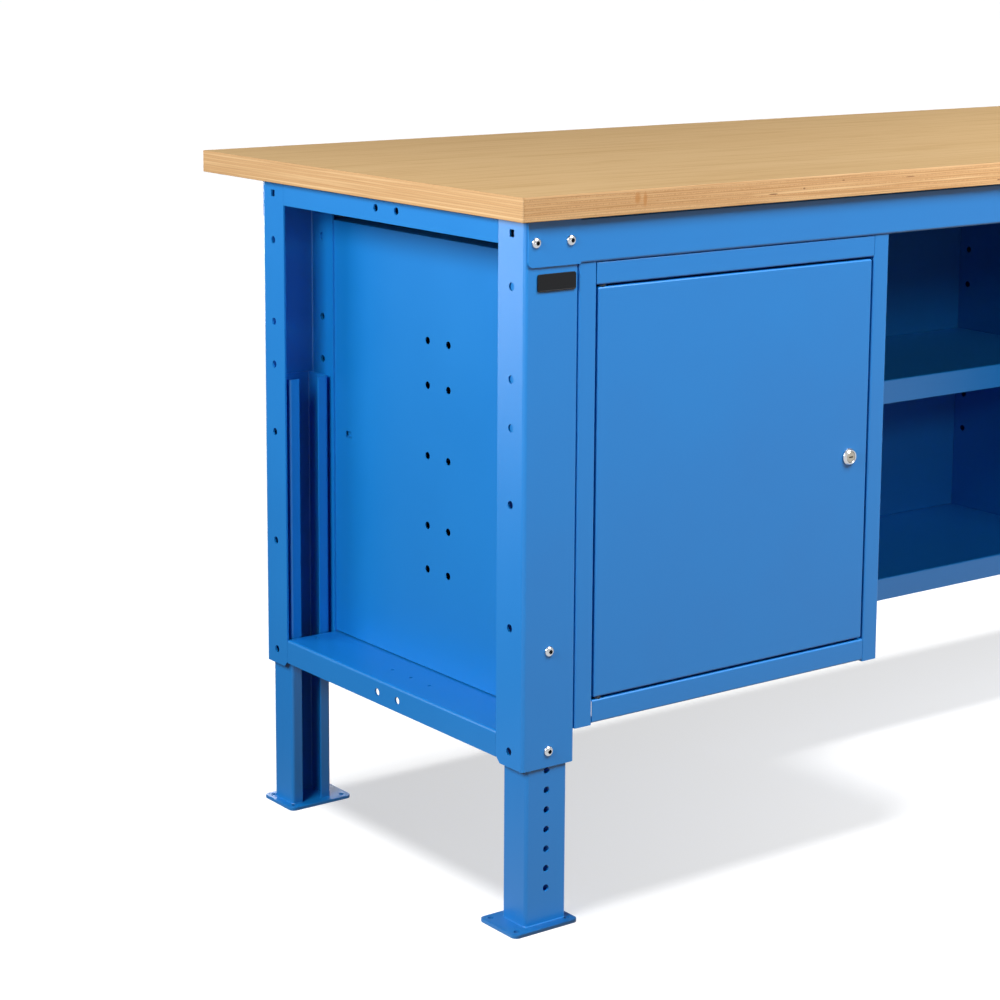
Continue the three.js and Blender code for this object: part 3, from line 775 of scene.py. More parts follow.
def make_foot():
    local = corner_frames["left_front"].inverted()
    low, high = local @ foot_low, local @ foot_high
    outline = rounded_rectangle(low.xy, high.xy, FOOT_CORNER)
    foot = object_from("foot", pushed("z", (low.z, outline), (high.z, outline)))
    ease_edges(foot, 0.6 * MM)
    inset = FOOT_HOLE_INSET
    spots = [(x, y) for x in (low.x + inset, high.x - inset) for y in (low.y + inset, high.y - inset)]
    punched(foot, [((x, y, low.z), UPRIGHT, FOOT_HOLE) for x, y in spots], depth=0.02)
    return smooth_bends(foot)


foot = make_foot()
for corner in CORNERS:
    body = f"{corner}_leg"
    sliding = copy_of(leg, f"{corner}_sliding_leg", corner_frames[corner])
    hand_over(sliding, body, "blue_paint", BLUE_PAINT, f"{corner}_leg")
    plate = copy_of(foot, f"{corner}_drilled_foot", corner_frames[corner])
    hand_over(plate, body, "blue_paint", BLUE_PAINT, f"{corner}_foot_plate")
print("feet at", [tuple(round(v / MM) for v in middle(f"{c}_foot_plate").xy) for c in CORNERS])
bpy.data.objects.remove(leg)
bpy.data.objects.remove(foot)

# %% [markdown]
# ## Rails
# The front rail is a channel that hides under the board. Its flanges stop at the posts, and its web runs on
# over them with round lower corners, held by two screws each side. The rear rail is the same part turned
# round. Between the posts of each end lie an angle at the top and a wide channel near the feet, which has
# pairs of holes in its face and small ones in its upper flange.

# %% Front and rear rails
RAIL_SHEET = 2.0 * MM
RAIL_BEND = 3.5 * MM
RAIL_CORNER = 7 * MM
RAIL_OVERLAP = 0.5 * MM
rail_low, rail_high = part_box("front_rail")
panel_side = -panel_low.x


def rail_end(side):
    """The flat end of a rail's web, with a round lower corner."""
    inner, outer = panel_side - RAIL_OVERLAP, rail_high.x
    path = [Vector((inner, rail_low.z)), Vector((outer, rail_low.z)), Vector((outer, rail_high.z))]
    outline = [path[0]] + bend_arc(*path, RAIL_CORNER) + [path[2], Vector((inner, rail_high.z))]
    outline = [(side * x, z) for x, z in outline]
    levels = [(y, outline) for y in (rail_low.y, rail_low.y + RAIL_SHEET)]
    return object_from("rail end", pushed("y", *levels))


def make_rail():
    back = rail_high.y
    path = [(back, rail_high.z), (rail_low.y, rail_high.z), (rail_low.y, rail_low.z), (back, rail_low.z)]
    rail = folded_piece("channel_rail_front", "x", (-panel_side, panel_side), path, RAIL_SHEET, RAIL_BEND)
    join(rail, rail_end(-1), rail_end(1))
    screws = [f"{end}_front_{word}_rail_screw" for end in ("left", "right") for word in ("outer", "inner")]
    spots = [(middle(name).x, rail_low.y, middle(name).z) for name in screws]
    punched(rail, [(spot, LENGTHWAYS, SCREW_HOLE) for spot in spots], depth=0.01)
    return smooth_bends(rail)


front_rail = make_rail()
turned_round = Matrix.Translation((0, 2 * frame_middle, 0)) @ Matrix.Rotation(math.pi, 4, "Z")
rear_rail = copy_of(front_rail, "channel_rail_rear", turned_round)
hand_over(front_rail, FRAME_BODY, "blue_paint", BLUE_PAINT, "front_rail")
hand_over(rear_rail, FRAME_BODY, "blue_paint", BLUE_PAINT, "rear_rail")
print("rails", round((rail_high.x - rail_low.x) / MM, 1), "mm long")

# %% Side rails
SIDE_RAIL_SHEET = 2.5 * MM
SIDE_RAIL_BEND = 4.0 * MM
HOLE_COLUMNS = [frame_middle + offset * MM for offset in (-27, 20)]
TOP_RAIL_HOLE_DROP = 12.8 * MM
BOTTOM_RAIL_HOLE_DROP = 17.5 * MM
TOP_RAIL_FLANGE = 40 * MM
SMALL_HOLE = 2.6 * MM
SMALL_HOLE_OFFSETS = (-229, -43, 0, 43, 229)


def side_rail(node, name, hole_drop, channel):
    low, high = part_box(node)
    side = 1 if low.x > 0 else -1
    face = high.x if side > 0 else low.x
    wide = high.x - low.x
    path = [(low.z, 0), (high.z, 0), (high.z, wide)] + ([(low.z, wide)] if channel else [])
    section = folded_outline(path, SIDE_RAIL_SHEET, SIDE_RAIL_BEND)
    outline = [(face - side * inset, z) for z, inset in section]
    rail = object_from(name, pushed("y", (low.y, outline), (high.y, outline)))
    spots = [((face, y, high.z - hole_drop), CROSSWAYS, POST_HOLE) for y in HOLE_COLUMNS]
    if channel:
        x = face - side * post_half
        rows = [frame_middle + offset * MM for offset in SMALL_HOLE_OFFSETS]
        spots += [((x, y, high.z), UPRIGHT, SMALL_HOLE) for y in rows]
    punched(rail, spots, depth=0.02)
    smooth_bends(rail)
    return hand_over(rail, FRAME_BODY, "blue_paint", BLUE_PAINT, node)


for end in ("left", "right"):
    side_rail(f"{end}_top_side_rail", f"{end}_angle_rail", TOP_RAIL_HOLE_DROP, channel=False)
    low_rail = side_rail(f"{end}_bottom_side_rail", f"{end}_channel_rail", BOTTOM_RAIL_HOLE_DROP, channel=True)
print("a low side rail has", len(low_rail.data.polygons), "faces")

# %% [markdown]
# ## Side panels
# Each side of a cabinet is one sheet: a narrow stile folded across the front and turned back, and a flange
# at the rear. Four columns of holes take drawer runners, and two tabs are pressed inwards to carry the shelf.
# A tab leaves its window open above it, so the window is cut and the tab is joined to the window's lower edge.

# %% Side panels
SHEET = 1.2 * MM
SHEET_BEND = 2.4 * MM
STILE_RETURN = 15 * MM
REAR_FLANGE = 20 * MM
PANEL_HOLE = 5.1 * MM
PANEL_ROWS = [middle_row + offset * MM for offset in (-154, -94.5, 0, 94.5, 154)]
TAB_HALF = 7 * MM
TAB_REACH = 9 * MM
TAB_SETBACK = 86 * MM
tab_top = middle_row - 8 * MM
stile_width = panel_high.x - panel_low.x
panel_columns = [front_plane + post_flange / 2, *HOLE_COLUMNS, back_plane - post_flange / 2]


def side_panel(node, name, inward):
    low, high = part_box(node)
    face = low.x if inward > 0 else high.x
    path = [
        (REAR_FLANGE, high.y), (0, high.y), (0, low.y),
        (stile_width, low.y), (stile_width, low.y + STILE_RETURN),
    ]
    outline = [(face + inward * u, y) for u, y in folded_outline(path, SHEET, SHEET_BEND)]
    panel = object_from(name, pushed("z", *levels_between(low.z, high.z, PANEL_ROWS, outline)))
    spots = [(face, y, z) for y in panel_columns for z in PANEL_ROWS]
    punched(panel, [(spot, CROSSWAYS, PANEL_HOLE) for spot in spots], depth=0.01)
    windows, tabs = [], []
    for y in (low.y + TAB_SETBACK, high.y - TAB_SETBACK):
        edge = Vector((face, y, tab_top))
        reach = Vector((0.005, TAB_HALF, 0))
        windows.append(box_between("window", edge - reach, edge + reach + Vector((0, 0, TAB_REACH))))
        ends = sorted((face + inward * 0.1 * MM, face + inward * (SHEET + TAB_REACH)))
        half = TAB_HALF - 0.3 * MM
        tab = box_between("tab", (ends[0], y - half, tab_top - SHEET), (ends[1], y + half, tab_top - 0.05 * MM))
        tabs.append(tab)
    cut_away(panel, *windows)
    join(panel, *tabs)
    smooth_bends(panel)
    return hand_over(panel, FRAME_BODY, "blue_paint", BLUE_PAINT, node)


for word, side in SIDES.items():
    side_panel(f"{word}_cabinet_outer_side", f"{word}_outer_panel", -side)
    inner_panel = side_panel(f"{word}_cabinet_inner_side", f"{word}_inner_panel", side)
print("stiles are", round(stile_width / MM, 1), "mm wide, a panel has", len(inner_panel.data.polygons), "faces")

# %% [markdown]
# ## Pans: back panels, shelves and the door
# A shelf, a back panel and the door are pans: a flat sheet with its rims folded the same way. A box loses the
# faces it opens to, its remaining edges are rounded as bends, and Solidify gives the wall its thickness
# inwards, so the outside stays exactly where the CAD box is. A cabinet's shelf has rims only at its front and
# back, because its sides lie on the tabs.

# %% A pan and the sheet pieces made with it


def pan(name, low, high, openings, wall=SHEET, bend=SHEET_BEND):
    """A thin pan filling the box, open towards each of the given directions."""
    shape = bmesh.new()
    bmesh.ops.create_cube(shape, size=1.0)
    size, centre = Vector(high) - Vector(low), (Vector(high) + Vector(low)) / 2
    shape.transform(Matrix.Translation(centre) @ Matrix.Diagonal((*size, 1)))
    shape.normal_update()
    open_faces = [f for f in shape.faces if any(f.normal.dot(Vector(way)) > 0.9 for way in openings)]
    bmesh.ops.delete(shape, geom=open_faces, context="FACES_ONLY")
    folds = [edge for edge in shape.edges if len(edge.link_faces) == 2]
    bmesh.ops.delete(shape, geom=[e for e in shape.edges if not e.link_faces], context="EDGES")
    bmesh.ops.bevel(shape, geom=folds, offset=bend, segments=BEND_STEPS, profile=0.5, affect="EDGES")
    bmesh.ops.recalc_face_normals(shape, faces=shape.faces)
    for face in shape.faces:
        outward = face.normal.dot(face.calc_center_median() - centre)
        if outward < 0:
            face.normal_flip()
    mesh = bpy.data.meshes.new(name)
    shape.to_mesh(mesh)
    shape.free()
    made = bpy.data.objects.new(name, mesh)
    bpy.context.scene.collection.objects.link(made)
    thick = made.modifiers.new("sheet", "SOLIDIFY")
    thick.thickness = wall
    thick.offset = -1.0
    thick.use_even_offset = True
    return settle(made)


DOWN, BACKWARDS, FORWARDS = (0, 0, -1), (0, 1, 0), (0, -1, 0)
LEFTWARDS, RIGHTWARDS = (-1, 0, 0), (1, 0, 0)
PANS = (
    ("left_cabinet_back", "left_back_sheet", BACKWARDS),
    ("bay_back_panel", "bay_back_sheet", BACKWARDS),
    ("right_cabinet_back", "right_back_sheet", BACKWARDS),
    ("left_cabinet_shelf", "left_shelf_pan", DOWN, LEFTWARDS, RIGHTWARDS),
    ("bay_lower_shelf", "bay_lower_pan", DOWN),
    ("bay_upper_shelf", "bay_upper_pan", DOWN),
    ("right_cabinet_shelf", "right_shelf_pan", DOWN, LEFTWARDS, RIGHTWARDS),
)
EAR = Vector((SHEET, 20 * MM, 6.6 * MM))
EAR_INSET = 2.5 * MM


def add_ears(shelf, low, high):
    """Small ears stand up behind the windows of the side panels, and keep the shelf on its tabs."""
    for y in (panel_low.y + TAB_SETBACK, panel_high.y - TAB_SETBACK):
        for x in (low.x + EAR_INSET, high.x - EAR_INSET - SHEET):
            foot = Vector((x, y - EAR.y / 2, high.z - SHEET / 2))
            join(shelf, box_between("ear", foot, foot + EAR))


for node, name, *openings in PANS:
    low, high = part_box(node)
    sheet_pan = pan(name, low, high, openings)
    if RIGHTWARDS in openings:
        add_ears(sheet_pan, low, high)
    smooth_bends(sheet_pan)
    hand_over(sheet_pan, FRAME_BODY, "blue_paint", BLUE_PAINT, node)
    print(name, [round(v / MM, 1) for v in sheet_pan.dimensions], "mm")

# %% [markdown]
# ## The cabinets' tops and floors
# Between the stiles the front of a top and of a floor is a folded channel, and a shallow tray behind it
# reaches the back. The hinge pins pass through the channel's sheet next to the door.

# %% Cabinet tops and floors
CHANNEL_DEPTH = 20 * MM
DECK_LIP = 15 * MM
PIN_HOLE = 3.3 * MM
DECK_SLACK = 0.3 * MM


def cabinet_deck(node, name, pin, pinned_at_top):
    low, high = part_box(node)
    back = low.y + CHANNEL_DEPTH
    path = [(back, high.z), (low.y, high.z), (low.y, low.z), (back, low.z)]
    inset = stile_width - SHEET
    deck = folded_piece(name, "x", (low.x + inset, high.x - inset), path, SHEET, SHEET_BEND)
    tray_low = (low.x, low.y + STILE_RETURN + DECK_SLACK, high.z - DECK_LIP)
    join(deck, pan("tray", tray_low, high, [DOWN, FORWARDS]))
    pin_z = high.z if pinned_at_top else low.z
    punched(deck, [((pin.x, pin.y, pin_z), UPRIGHT, PIN_HOLE)], depth=0.01)
    smooth_bends(deck)
    return hand_over(deck, FRAME_BODY, "blue_paint", BLUE_PAINT, node)


for word in SIDES:
    pin = middle(f"{word}_upper_hinge_pin")
    cabinet_deck(f"{word}_cabinet_top", f"{word}_top_channel", pin, pinned_at_top=False)
    deck = cabinet_deck(f"{word}_cabinet_floor", f"{word}_floor_channel", pin, pinned_at_top=True)
    print(deck.name, [round(v / MM, 1) for v in deck.dimensions], "mm")

# %% [markdown]
# ## The doors
# A door is a deeper pan that opens to the rear, with a hat-shaped stiffener behind its face. It turns on
# two pins with collars. Its face is plain apart from the hole of the lock.

# %% Doors, stiffeners and hinge pins
DOOR_BEND = 2.6 * MM
LOCK_HOLE = 9.3 * MM
HAT_HALF = 25 * MM
ROUND_SIDES = 32
TOUCH = 0.3 * MM


def make_door(word):
    low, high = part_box(f"{word}_door_panel")
    lock, pin = middle(f"{word}_lock_body"), middle(f"{word}_upper_hinge_pin")
    door = pan(f"{word}_door_pan", low, high, [BACKWARDS], bend=DOOR_BEND)
    punched(door, [((lock.x, low.y, lock.z), LENGTHWAYS, LOCK_HOLE)], depth=0.01, sides=ROUND_SIDES)
    ends = [((pin.x, pin.y, z), UPRIGHT, PIN_HOLE) for z in (low.z, high.z)]
    return smooth_bends(punched(door, ends, depth=0.01))


def make_stiffener(word):
    low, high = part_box(f"{word}_door_stiffener")
    centre = (low.x + high.x) / 2
    foot, crown = low.y, high.y - SHEET
    path = [
        (low.x, foot), (centre - HAT_HALF, foot), (centre - HAT_HALF, crown),
        (centre + HAT_HALF, crown), (centre + HAT_HALF, foot), (high.x, foot),
    ]
    return smooth_bends(folded_piece(f"{word}_door_hat", "z", (low.z, high.z), path, SHEET, SHEET_BEND))


def turned(name, profile, axis_frame, sides=ROUND_SIDES):
    """A shape turned about Z from (radius, height) pairs, then moved to its place."""
    shape = bmesh.new()
    rings = []
    for radius, height in profile:
        if radius <= 0:
            rings.append([shape.verts.new((0, 0, height))])
            continue
        angles = [2 * math.pi * i / sides for i in range(sides)]
        rings.append([shape.verts.new((radius * math.cos(a), radius * math.sin(a), height)) for a in angles])
    for ring, above in zip(rings, rings[1:]):
        for i in range(sides):
            corners = [ring[i - 1], ring[i], above[i], above[i - 1]] if len(ring) > 1 and len(above) > 1 else (
                [ring[0], above[i], above[i - 1]] if len(ring) == 1 else [ring[i - 1], ring[i], above[0]])
            shape.faces.new(corners)
    if len(rings[0]) > 1 and profile[0] == profile[-1]:
        bmesh.ops.remove_doubles(shape, verts=shape.verts, dist=1e-8)
    shape.transform(axis_frame)
    return object_from(name, shape)


def make_hinge_pin(node, name, collar):
    low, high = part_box(node)
    edge, pin = 0.6 * MM, 3.0 * MM
    wide = (high.x - low.x) / 2
    profile = [
        (0, low.z), (pin - edge, low.z), (pin, low.z + edge),
        (pin, collar[0]), (wide - edge / 2, collar[0]), (wide, collar[0] + edge / 2),
        (wide, collar[1] - edge / 2), (wide - edge / 2, collar[1]), (pin, collar[1]),
        (pin, high.z - edge), (pin - edge, high.z), (0, high.z),
    ]
    centre = middle(node)
    return smooth_bends(turned(name, profile, Matrix.Translation((centre.x, centre.y, 0))))


def hang_door(word):
    body = f"{word}_door"
    door = make_door(word)
    low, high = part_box(f"{word}_door_panel")
    collars = {
        "upper": (high.z + TOUCH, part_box(f"{word}_cabinet_top")[0].z - TOUCH),
        "lower": (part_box(f"{word}_cabinet_floor")[1].z + TOUCH, low.z - TOUCH),
    }
    hand_over(door, body, "blue_paint", BLUE_PAINT, f"{word}_door_panel")
    hand_over(make_stiffener(word), body, "blue_paint", BLUE_PAINT, f"{word}_door_stiffener")
    for end, collar in collars.items():
        node = f"{word}_{end}_hinge_pin"
        pin = make_hinge_pin(node, f"{word}_{end}_collared_pin", collar)
        # The pins take the dark steel: painted shade, so their collars read as dark as the gap round the door.
        hand_over(pin, body, "bright_zinc", PAINTED_SHADE_STEEL, node)
    return door


for word in SIDES:
    door = hang_door(word)
    print(door.name, [round(v / MM, 1) for v in door.dimensions], "mm")

# %% [markdown]
# ## The locks
# A cylinder lock has a plated body with a broad round rim, a plug that turns in it, a nut behind the door and
# a cam on the plug's square tail. The body and plug are turned from a profile. The keyway is cut into the
# plug, because a key really goes in there and a painted line would vanish from the side.

# %% Lock body, plug, nut and cam
lock_low, lock_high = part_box("left_lock_body")
plug_low, plug_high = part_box("left_lock_plug")
RIM_RADIUS = (lock_high.x - lock_low.x) / 2
RIM_HEIGHT = 4.5 * MM
FACE_RADIUS = 9.2 * MM
BARREL_RADIUS = 9.0 * MM
PLUG_RADIUS = (plug_high.x - plug_low.x) / 2
BORE_RADIUS = PLUG_RADIUS + 0.3 * MM
TAIL_HALF = 4 * MM
KEYWAY = Vector((7.0 * MM, 5.0 * MM, 1.9 * MM))


def out_of_door(lock):
    """A turned profile's height runs out of the door, towards the front."""
    return Matrix.Translation((lock.x, 0, lock.z)) @ Matrix.Rotation(math.pi / 2, 4, "X")


def make_lock_body(word, lock):
    front, back = -lock_low.y, -lock_high.y
    rim_back = front - RIM_HEIGHT
    profile = [
        (BORE_RADIUS, back), (BARREL_RADIUS - 0.5 * MM, back), (BARREL_RADIUS, back + 0.5 * MM),
        (BARREL_RADIUS, rim_back), (RIM_RADIUS - 0.3 * MM, rim_back), (RIM_RADIUS, rim_back + 0.4 * MM),
        (RIM_RADIUS, rim_back + 1.3 * MM), (RIM_RADIUS - 0.3 * MM, rim_back + 1.8 * MM),
        (FACE_RADIUS + 0.5 * MM, front - 0.35 * MM), (FACE_RADIUS, front),
        (BORE_RADIUS + 0.4 * MM, front), (BORE_RADIUS, front - 0.5 * MM), (BORE_RADIUS, back),
    ]
    return smooth_bends(turned(f"{word}_lock_barrel", profile, out_of_door(lock), sides=48))


def make_lock_plug(word, lock):
    front, back, tail = -plug_low.y - 0.25 * MM, -lock_high.y, -plug_high.y
    edge = 0.5 * MM
    profile = [
        (0, back), (PLUG_RADIUS, back), (PLUG_RADIUS, front - edge),
        (PLUG_RADIUS - edge, front), (0, front),
    ]
    plug = turned(f"{word}_turning_plug", profile, out_of_door(lock), sides=48)
    tail_low = (lock.x - TAIL_HALF, -back - MM, lock.z - TAIL_HALF)
    join(plug, box_between("tail", tail_low, (lock.x + TAIL_HALF, -tail, lock.z + TAIL_HALF)))
    centre = Vector((lock.x, -front, lock.z))
    reach = Vector((KEYWAY.x / 2, KEYWAY.y, KEYWAY.z / 2))
    cut_away(plug, box_between("keyway", centre - reach, centre + reach))
    return smooth_bends(plug)


def make_lock_nut(word, lock):
    low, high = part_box(f"{word}_lock_nut")
    wide = max(high.x - low.x, high.z - low.z) / 2
    edge = 0.5 * MM
    profile = [
        (0, -high.y), (wide - edge, -high.y), (wide, -high.y + edge),
        (wide, -low.y - edge), (wide - edge, -low.y), (0, -low.y),
    ]
    nut = turned(f"{word}_hex_nut", profile, out_of_door(lock), sides=6)
    spot = [((lock.x, (low.y + high.y) / 2, lock.z), LENGTHWAYS, LOCK_HOLE)]
    return smooth_bends(punched(nut, spot, depth=0.02, sides=ROUND_SIDES))


def make_lock_cam(word, lock):
    low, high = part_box(f"{word}_lock_cam")
    outline = rounded_rectangle((low.x, low.z), (high.x, high.z), 5 * MM)
    cam = object_from(f"{word}_swinging_cam", pushed("y", (low.y, outline), (high.y, outline)))
    ease_edges(cam, 0.4 * MM)
    half = TAIL_HALF + 0.3 * MM
    centre = Vector((lock.x, (low.y + high.y) / 2, lock.z))
    reach = Vector((half, 0.01, half))
    return smooth_bends(cut_away(cam, box_between("square hole", centre - reach, centre + reach)))


for word in SIDES:
    lock = middle(f"{word}_lock_body")
    hand_over(make_lock_body(word, lock), f"{word}_door", "bright_zinc", BRIGHT_ZINC, f"{word}_lock_body")
    hand_over(make_lock_nut(word, lock), f"{word}_door", "bright_zinc", BRIGHT_ZINC, f"{word}_lock_nut")
    hand_over(make_lock_plug(word, lock), f"{word}_lock", "bright_zinc", NICKEL, f"{word}_lock_plug")
    hand_over(make_lock_cam(word, lock), f"{word}_lock", "bright_zinc", BRIGHT_ZINC, f"{word}_lock_cam")
    print(word, "lock at", [round(v / MM, 1) for v in lock], "rim radius", round(RIM_RADIUS / MM, 2))

# %% [markdown]
# ## Screws set by Geometry Nodes
# Sixteen domed screws hold the frame: two in each leg and two at each end of each long rail. One mesh of a
# screw is enough: a second tree sets it on a guide of points, turns it to each point's direction, and makes it
# real. A screw's head has a six-sided socket, because that dark spot is what tells a screw from a rivet at a
# glance; the tree gives the socket's faces a dark steel, painted shade that deepens the spot. The CAD model has
# the screws of the front corners, so the rear ones take their places, turned round.

# %% The setting tree


def setting_tree():
    tree, given, result = tree_with("set on points", [
        ("Mesh", "NodeSocketGeometry"),
        ("Guide", "NodeSocketObject"),
        ("Part", "NodeSocketObject"),
        ("Finish", "NodeSocketMaterial"),
        ("Recess", "NodeSocketMaterial"),
    ])
    part = add_node(tree, "GeometryNodeObjectInfo", {}, {"Object": given["Part"]})["Geometry"]
    size = read_attribute(tree, "radius", "FLOAT")
    scale = add_node(tree, "ShaderNodeCombineXYZ", {}, {"X": size, "Y": size, "Z": size})[0]
    placed = set_on_points(tree, given["Guide"], part, scale)
    dressed = add_node(tree, "GeometryNodeSetMaterial", {},
                       {"Geometry": placed, "Material": given["Finish"]})[0]
    # Faces marked as the socket take the recess finish: painted shade.
    sockets = {"Geometry": dressed, "Selection": read_attribute(tree, "recess", "BOOLEAN"), "Material": given["Recess"]}
    tree.links.new(add_node(tree, "GeometryNodeSetMaterial", {}, sockets)[0], result["Geometry"])
    return tree


SETTING = setting_tree()


def set_on(name, part, points, finish, painted_recess_shade):
    guide = guide_of(points)
    made = bpy.data.objects.new(name, bpy.data.meshes.new(name))
    bpy.context.scene.collection.objects.link(made)
    run_tree(made, SETTING, {"Guide": guide, "Part": part, "Finish": finish, "Recess": painted_recess_shade})
    bpy.data.objects.remove(guide)
    bpy.data.objects.remove(part)
    return made


print("the setting tree has", len(SETTING.nodes), "nodes")

# %% The screws
SCREW_SIDES = 24
HEAD_RADIUS = 6.6 * MM
HEAD_HEIGHT = 3.4 * MM
SHANK_RADIUS = 3.5 * MM
SOCKET_FLAT = 2.6 * MM
SOCKET_DEPTH = 2.9 * MM


def make_screw(shank):
    """A domed screw about Z, with its head upwards from Z = 0 and a six-sided socket in the crown."""
    dome = [(HEAD_RADIUS * math.cos(a), HEAD_HEIGHT * math.sin(a) * 1.06)
            for a in [math.radians(d) for d in (0, 14, 28, 42, 55, 67)]]
    crown = dome[-1][1]
    rows = [(0, -shank), (SHANK_RADIUS - 0.5 * MM, -shank), (SHANK_RADIUS, -shank + 0.5 * MM),
            (SHANK_RADIUS, 0.0), *dome, (SOCKET_FLAT * 1.18, crown + 0.1 * MM)]
    screw = turned("screw", rows + [(0, crown + 0.1 * MM)], Matrix.Identity(4), sides=SCREW_SIDES)
    bore = [(0, crown - SOCKET_DEPTH - 0.6 * MM), (SOCKET_FLAT * 1.15, crown - SOCKET_DEPTH),
            (SOCKET_FLAT * 1.15, crown + MM), (0, crown + MM)]
    cut_away(screw, turned("socket", bore, Matrix.Identity(4), sides=6))
    smooth_bends(screw)
    # The socket's faces are marked for the dark steel: painted shade inside the socket.
    recess = screw.data.attributes.new("recess", "BOOLEAN", "FACE")
    for face in screw.data.polygons:
        inside = face.center.xy.length < SOCKET_FLAT * 1.1 and 0 < face.center.z < crown - 0.2 * MM
        recess.data[face.index].value = inside
    return screw


def screw_points(words):
    """Seats of the left front corner's screws, turned to every corner, and the nodes that they replace."""
    home = corner_frames["left_front"].inverted()
    seats = []
    for word in words:
        node = f"left_front_{word}_screw"
        seats.append(home @ Vector((middle(node).x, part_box(node)[0].y + HEAD_HEIGHT, middle(node).z)))
    points = []
    for corner in CORNERS:
        frontwards = corner_frames[corner].to_3x3() @ Vector((0, -1, 0))
        points += [(corner_frames[corner] @ seat, frontwards, 1.0) for seat in seats]
    return points, [f"{end}_front_{word}_screw" for end in SIDES for word in words]


for name, words in (("leg_screws", ("lower_leg", "upper_leg")), ("rail_screws", ("outer_rail", "inner_rail"))):
    points, screw_nodes = screw_points(words)
    low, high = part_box(screw_nodes[0])
    screws = set_on(name, make_screw(high.y - low.y - HEAD_HEIGHT), points, BRIGHT_ZINC, PAINTED_SHADE_STEEL)
    hand_over(screws, FRAME_BODY, "bright_zinc", None, *screw_nodes)
    print(name, len(points), "with", len(screws.data.polygons), "faces")

# %% [markdown]
# ## The worktop and the plate
# The board's upright corners and its rims are eased with sandpaper, which is why they catch a light line. The
# top and underside take the face finish and the rim takes the edge finish. The plate on the post is blank,
# with a thin raised border.

# %% Worktop
UPRIGHT_EASE = 3.0 * MM
RIM_EASE = 1.0 * MM


def make_worktop():
    board = box_between("plywood_board", board_low, board_high)
    shape = bmesh.new()
    shape.from_mesh(board.data)
    upright = [e for e in shape.edges if abs((e.verts[0].co - e.verts[1].co).z) > RIM_EASE]
    bmesh.ops.bevel(shape, geom=upright, offset=UPRIGHT_EASE, segments=4, profile=0.5, affect="EDGES")
    shape.to_mesh(board.data)
    shape.free()
    ease_edges(board, RIM_EASE, segments=3, angle=60)
    smooth_bends(board)
    board.data.materials.clear()
    board.data.materials.append(PLYWOOD_FACE)
    board.data.materials.append(PLYWOOD_EDGE)
    for face in board.data.polygons:
        face.material_index = 0 if abs(face.normal.z) > 0.9 else 1
    return board


board = make_worktop()
hand_over(board, FRAME_BODY, "plywood", None, "worktop")
print("board", [round(v / MM, 1) for v in board.dimensions], "mm")

# %% Blank plate
plate_low, plate_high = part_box("blank_name_plate")
PLATE_CORNER = 3 * MM
PLATE_BORDER = 1.2 * MM


def make_plate():
    low, high = (plate_low.x, plate_low.z), (plate_high.x, plate_high.z)
    inset = PLATE_BORDER
    rims = [
        (plate_high.y, 0.0), (plate_low.y + 0.4 * MM, 0.0), (plate_low.y, 0.4 * MM),
        (plate_low.y, inset), (plate_low.y + 0.25 * MM, inset + 0.3 * MM),
    ]
    levels = []
    for y, shrink in rims:
        corner_low = (low[0] + shrink, low[1] + shrink)
        corner_high = (high[0] - shrink, high[1] - shrink)
        levels.append((y, rounded_rectangle(corner_low, corner_high, PLATE_CORNER - shrink)))
    return smooth_bends(object_from("blank_plate", pushed("y", *levels)))


hand_over(make_plate(), FRAME_BODY, "black_plate", BLACK_PLASTIC, "blank_name_plate")
print("plate", [round(v / MM, 1) for v in plate_high - plate_low], "mm")

# %% [markdown]
# ## Floor, light and camera
# The photograph is a studio picture on white. For the camera the floor glows a little, so it reads white where
# its own lamp reaches it and keeps the shadow elsewhere. A studio is never white all round, though: the paint
# and the metal mirror a bright room in front of the bench and a dim one behind it, and hardly any light comes
# back from the floor.

# %% What sees the white
DIM_BEHIND = 0.16


def white_for(finish, front):
    """How much white is seen by the camera or through glass, and how much by a mirror, which sees a dim room behind."""
    camera, glossy, through = (
        finish.node("ShaderNodeLightPath", out=f"Is {ray} Ray") for ray in ("Camera", "Glossy", "Transmission")
    )
    return camera.maths("MAXIMUM", camera, through), glossy * (DIM_BEHIND + (1 - DIM_BEHIND) * front)


print("a mirror sees", DIM_BEHIND, "of white behind the bench")

# %% Floor
FLOOR_HALF = 40.0
FLOOR_GREY = 0.60
FLOOR_BOUNCE = 0.025
FLOOR_GLOW = 0.44


def make_floor():
    finish = Finish("pale floor")
    y = finish.node("ShaderNodeSeparateXYZ", {}, {"Vector": finish.place()}, out="Y")
    seen, mirrored = white_for(finish, front=1 - finish.ramp(y, -0.6, 0.6))
    dim = finish.node("ShaderNodeBsdfDiffuse", {}, {"Color": (FLOOR_BOUNCE,) * 3 + (1,)})
    pale = finish.node("ShaderNodeBsdfDiffuse", {}, {"Color": (FLOOR_GREY,) * 3 + (1,)})
    glow = finish.node("ShaderNodeEmission", {}, {"Strength": FLOOR_GLOW})
    bright = finish.node("ShaderNodeAddShader", {}, {0: pale, 1: glow})
    white = finish.node("ShaderNodeEmission")
    unseen = finish.node("ShaderNodeMixShader", {}, {0: mirrored, 1: dim, 2: white})
    both = finish.node("ShaderNodeMixShader", {}, {0: seen, 1: unseen, 2: bright})
    finish.node("ShaderNodeOutputMaterial", {}, {"Surface": both}, out=None)
    shape = bmesh.new()
    bmesh.ops.create_grid(shape, x_segments=1, y_segments=1, size=FLOOR_HALF)
    made = object_from("floor", shape)
    made.data.materials.append(finish.material)
    made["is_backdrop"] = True
    return made


floor = make_floor()
print("floor", 2 * FLOOR_HALF, "m wide")

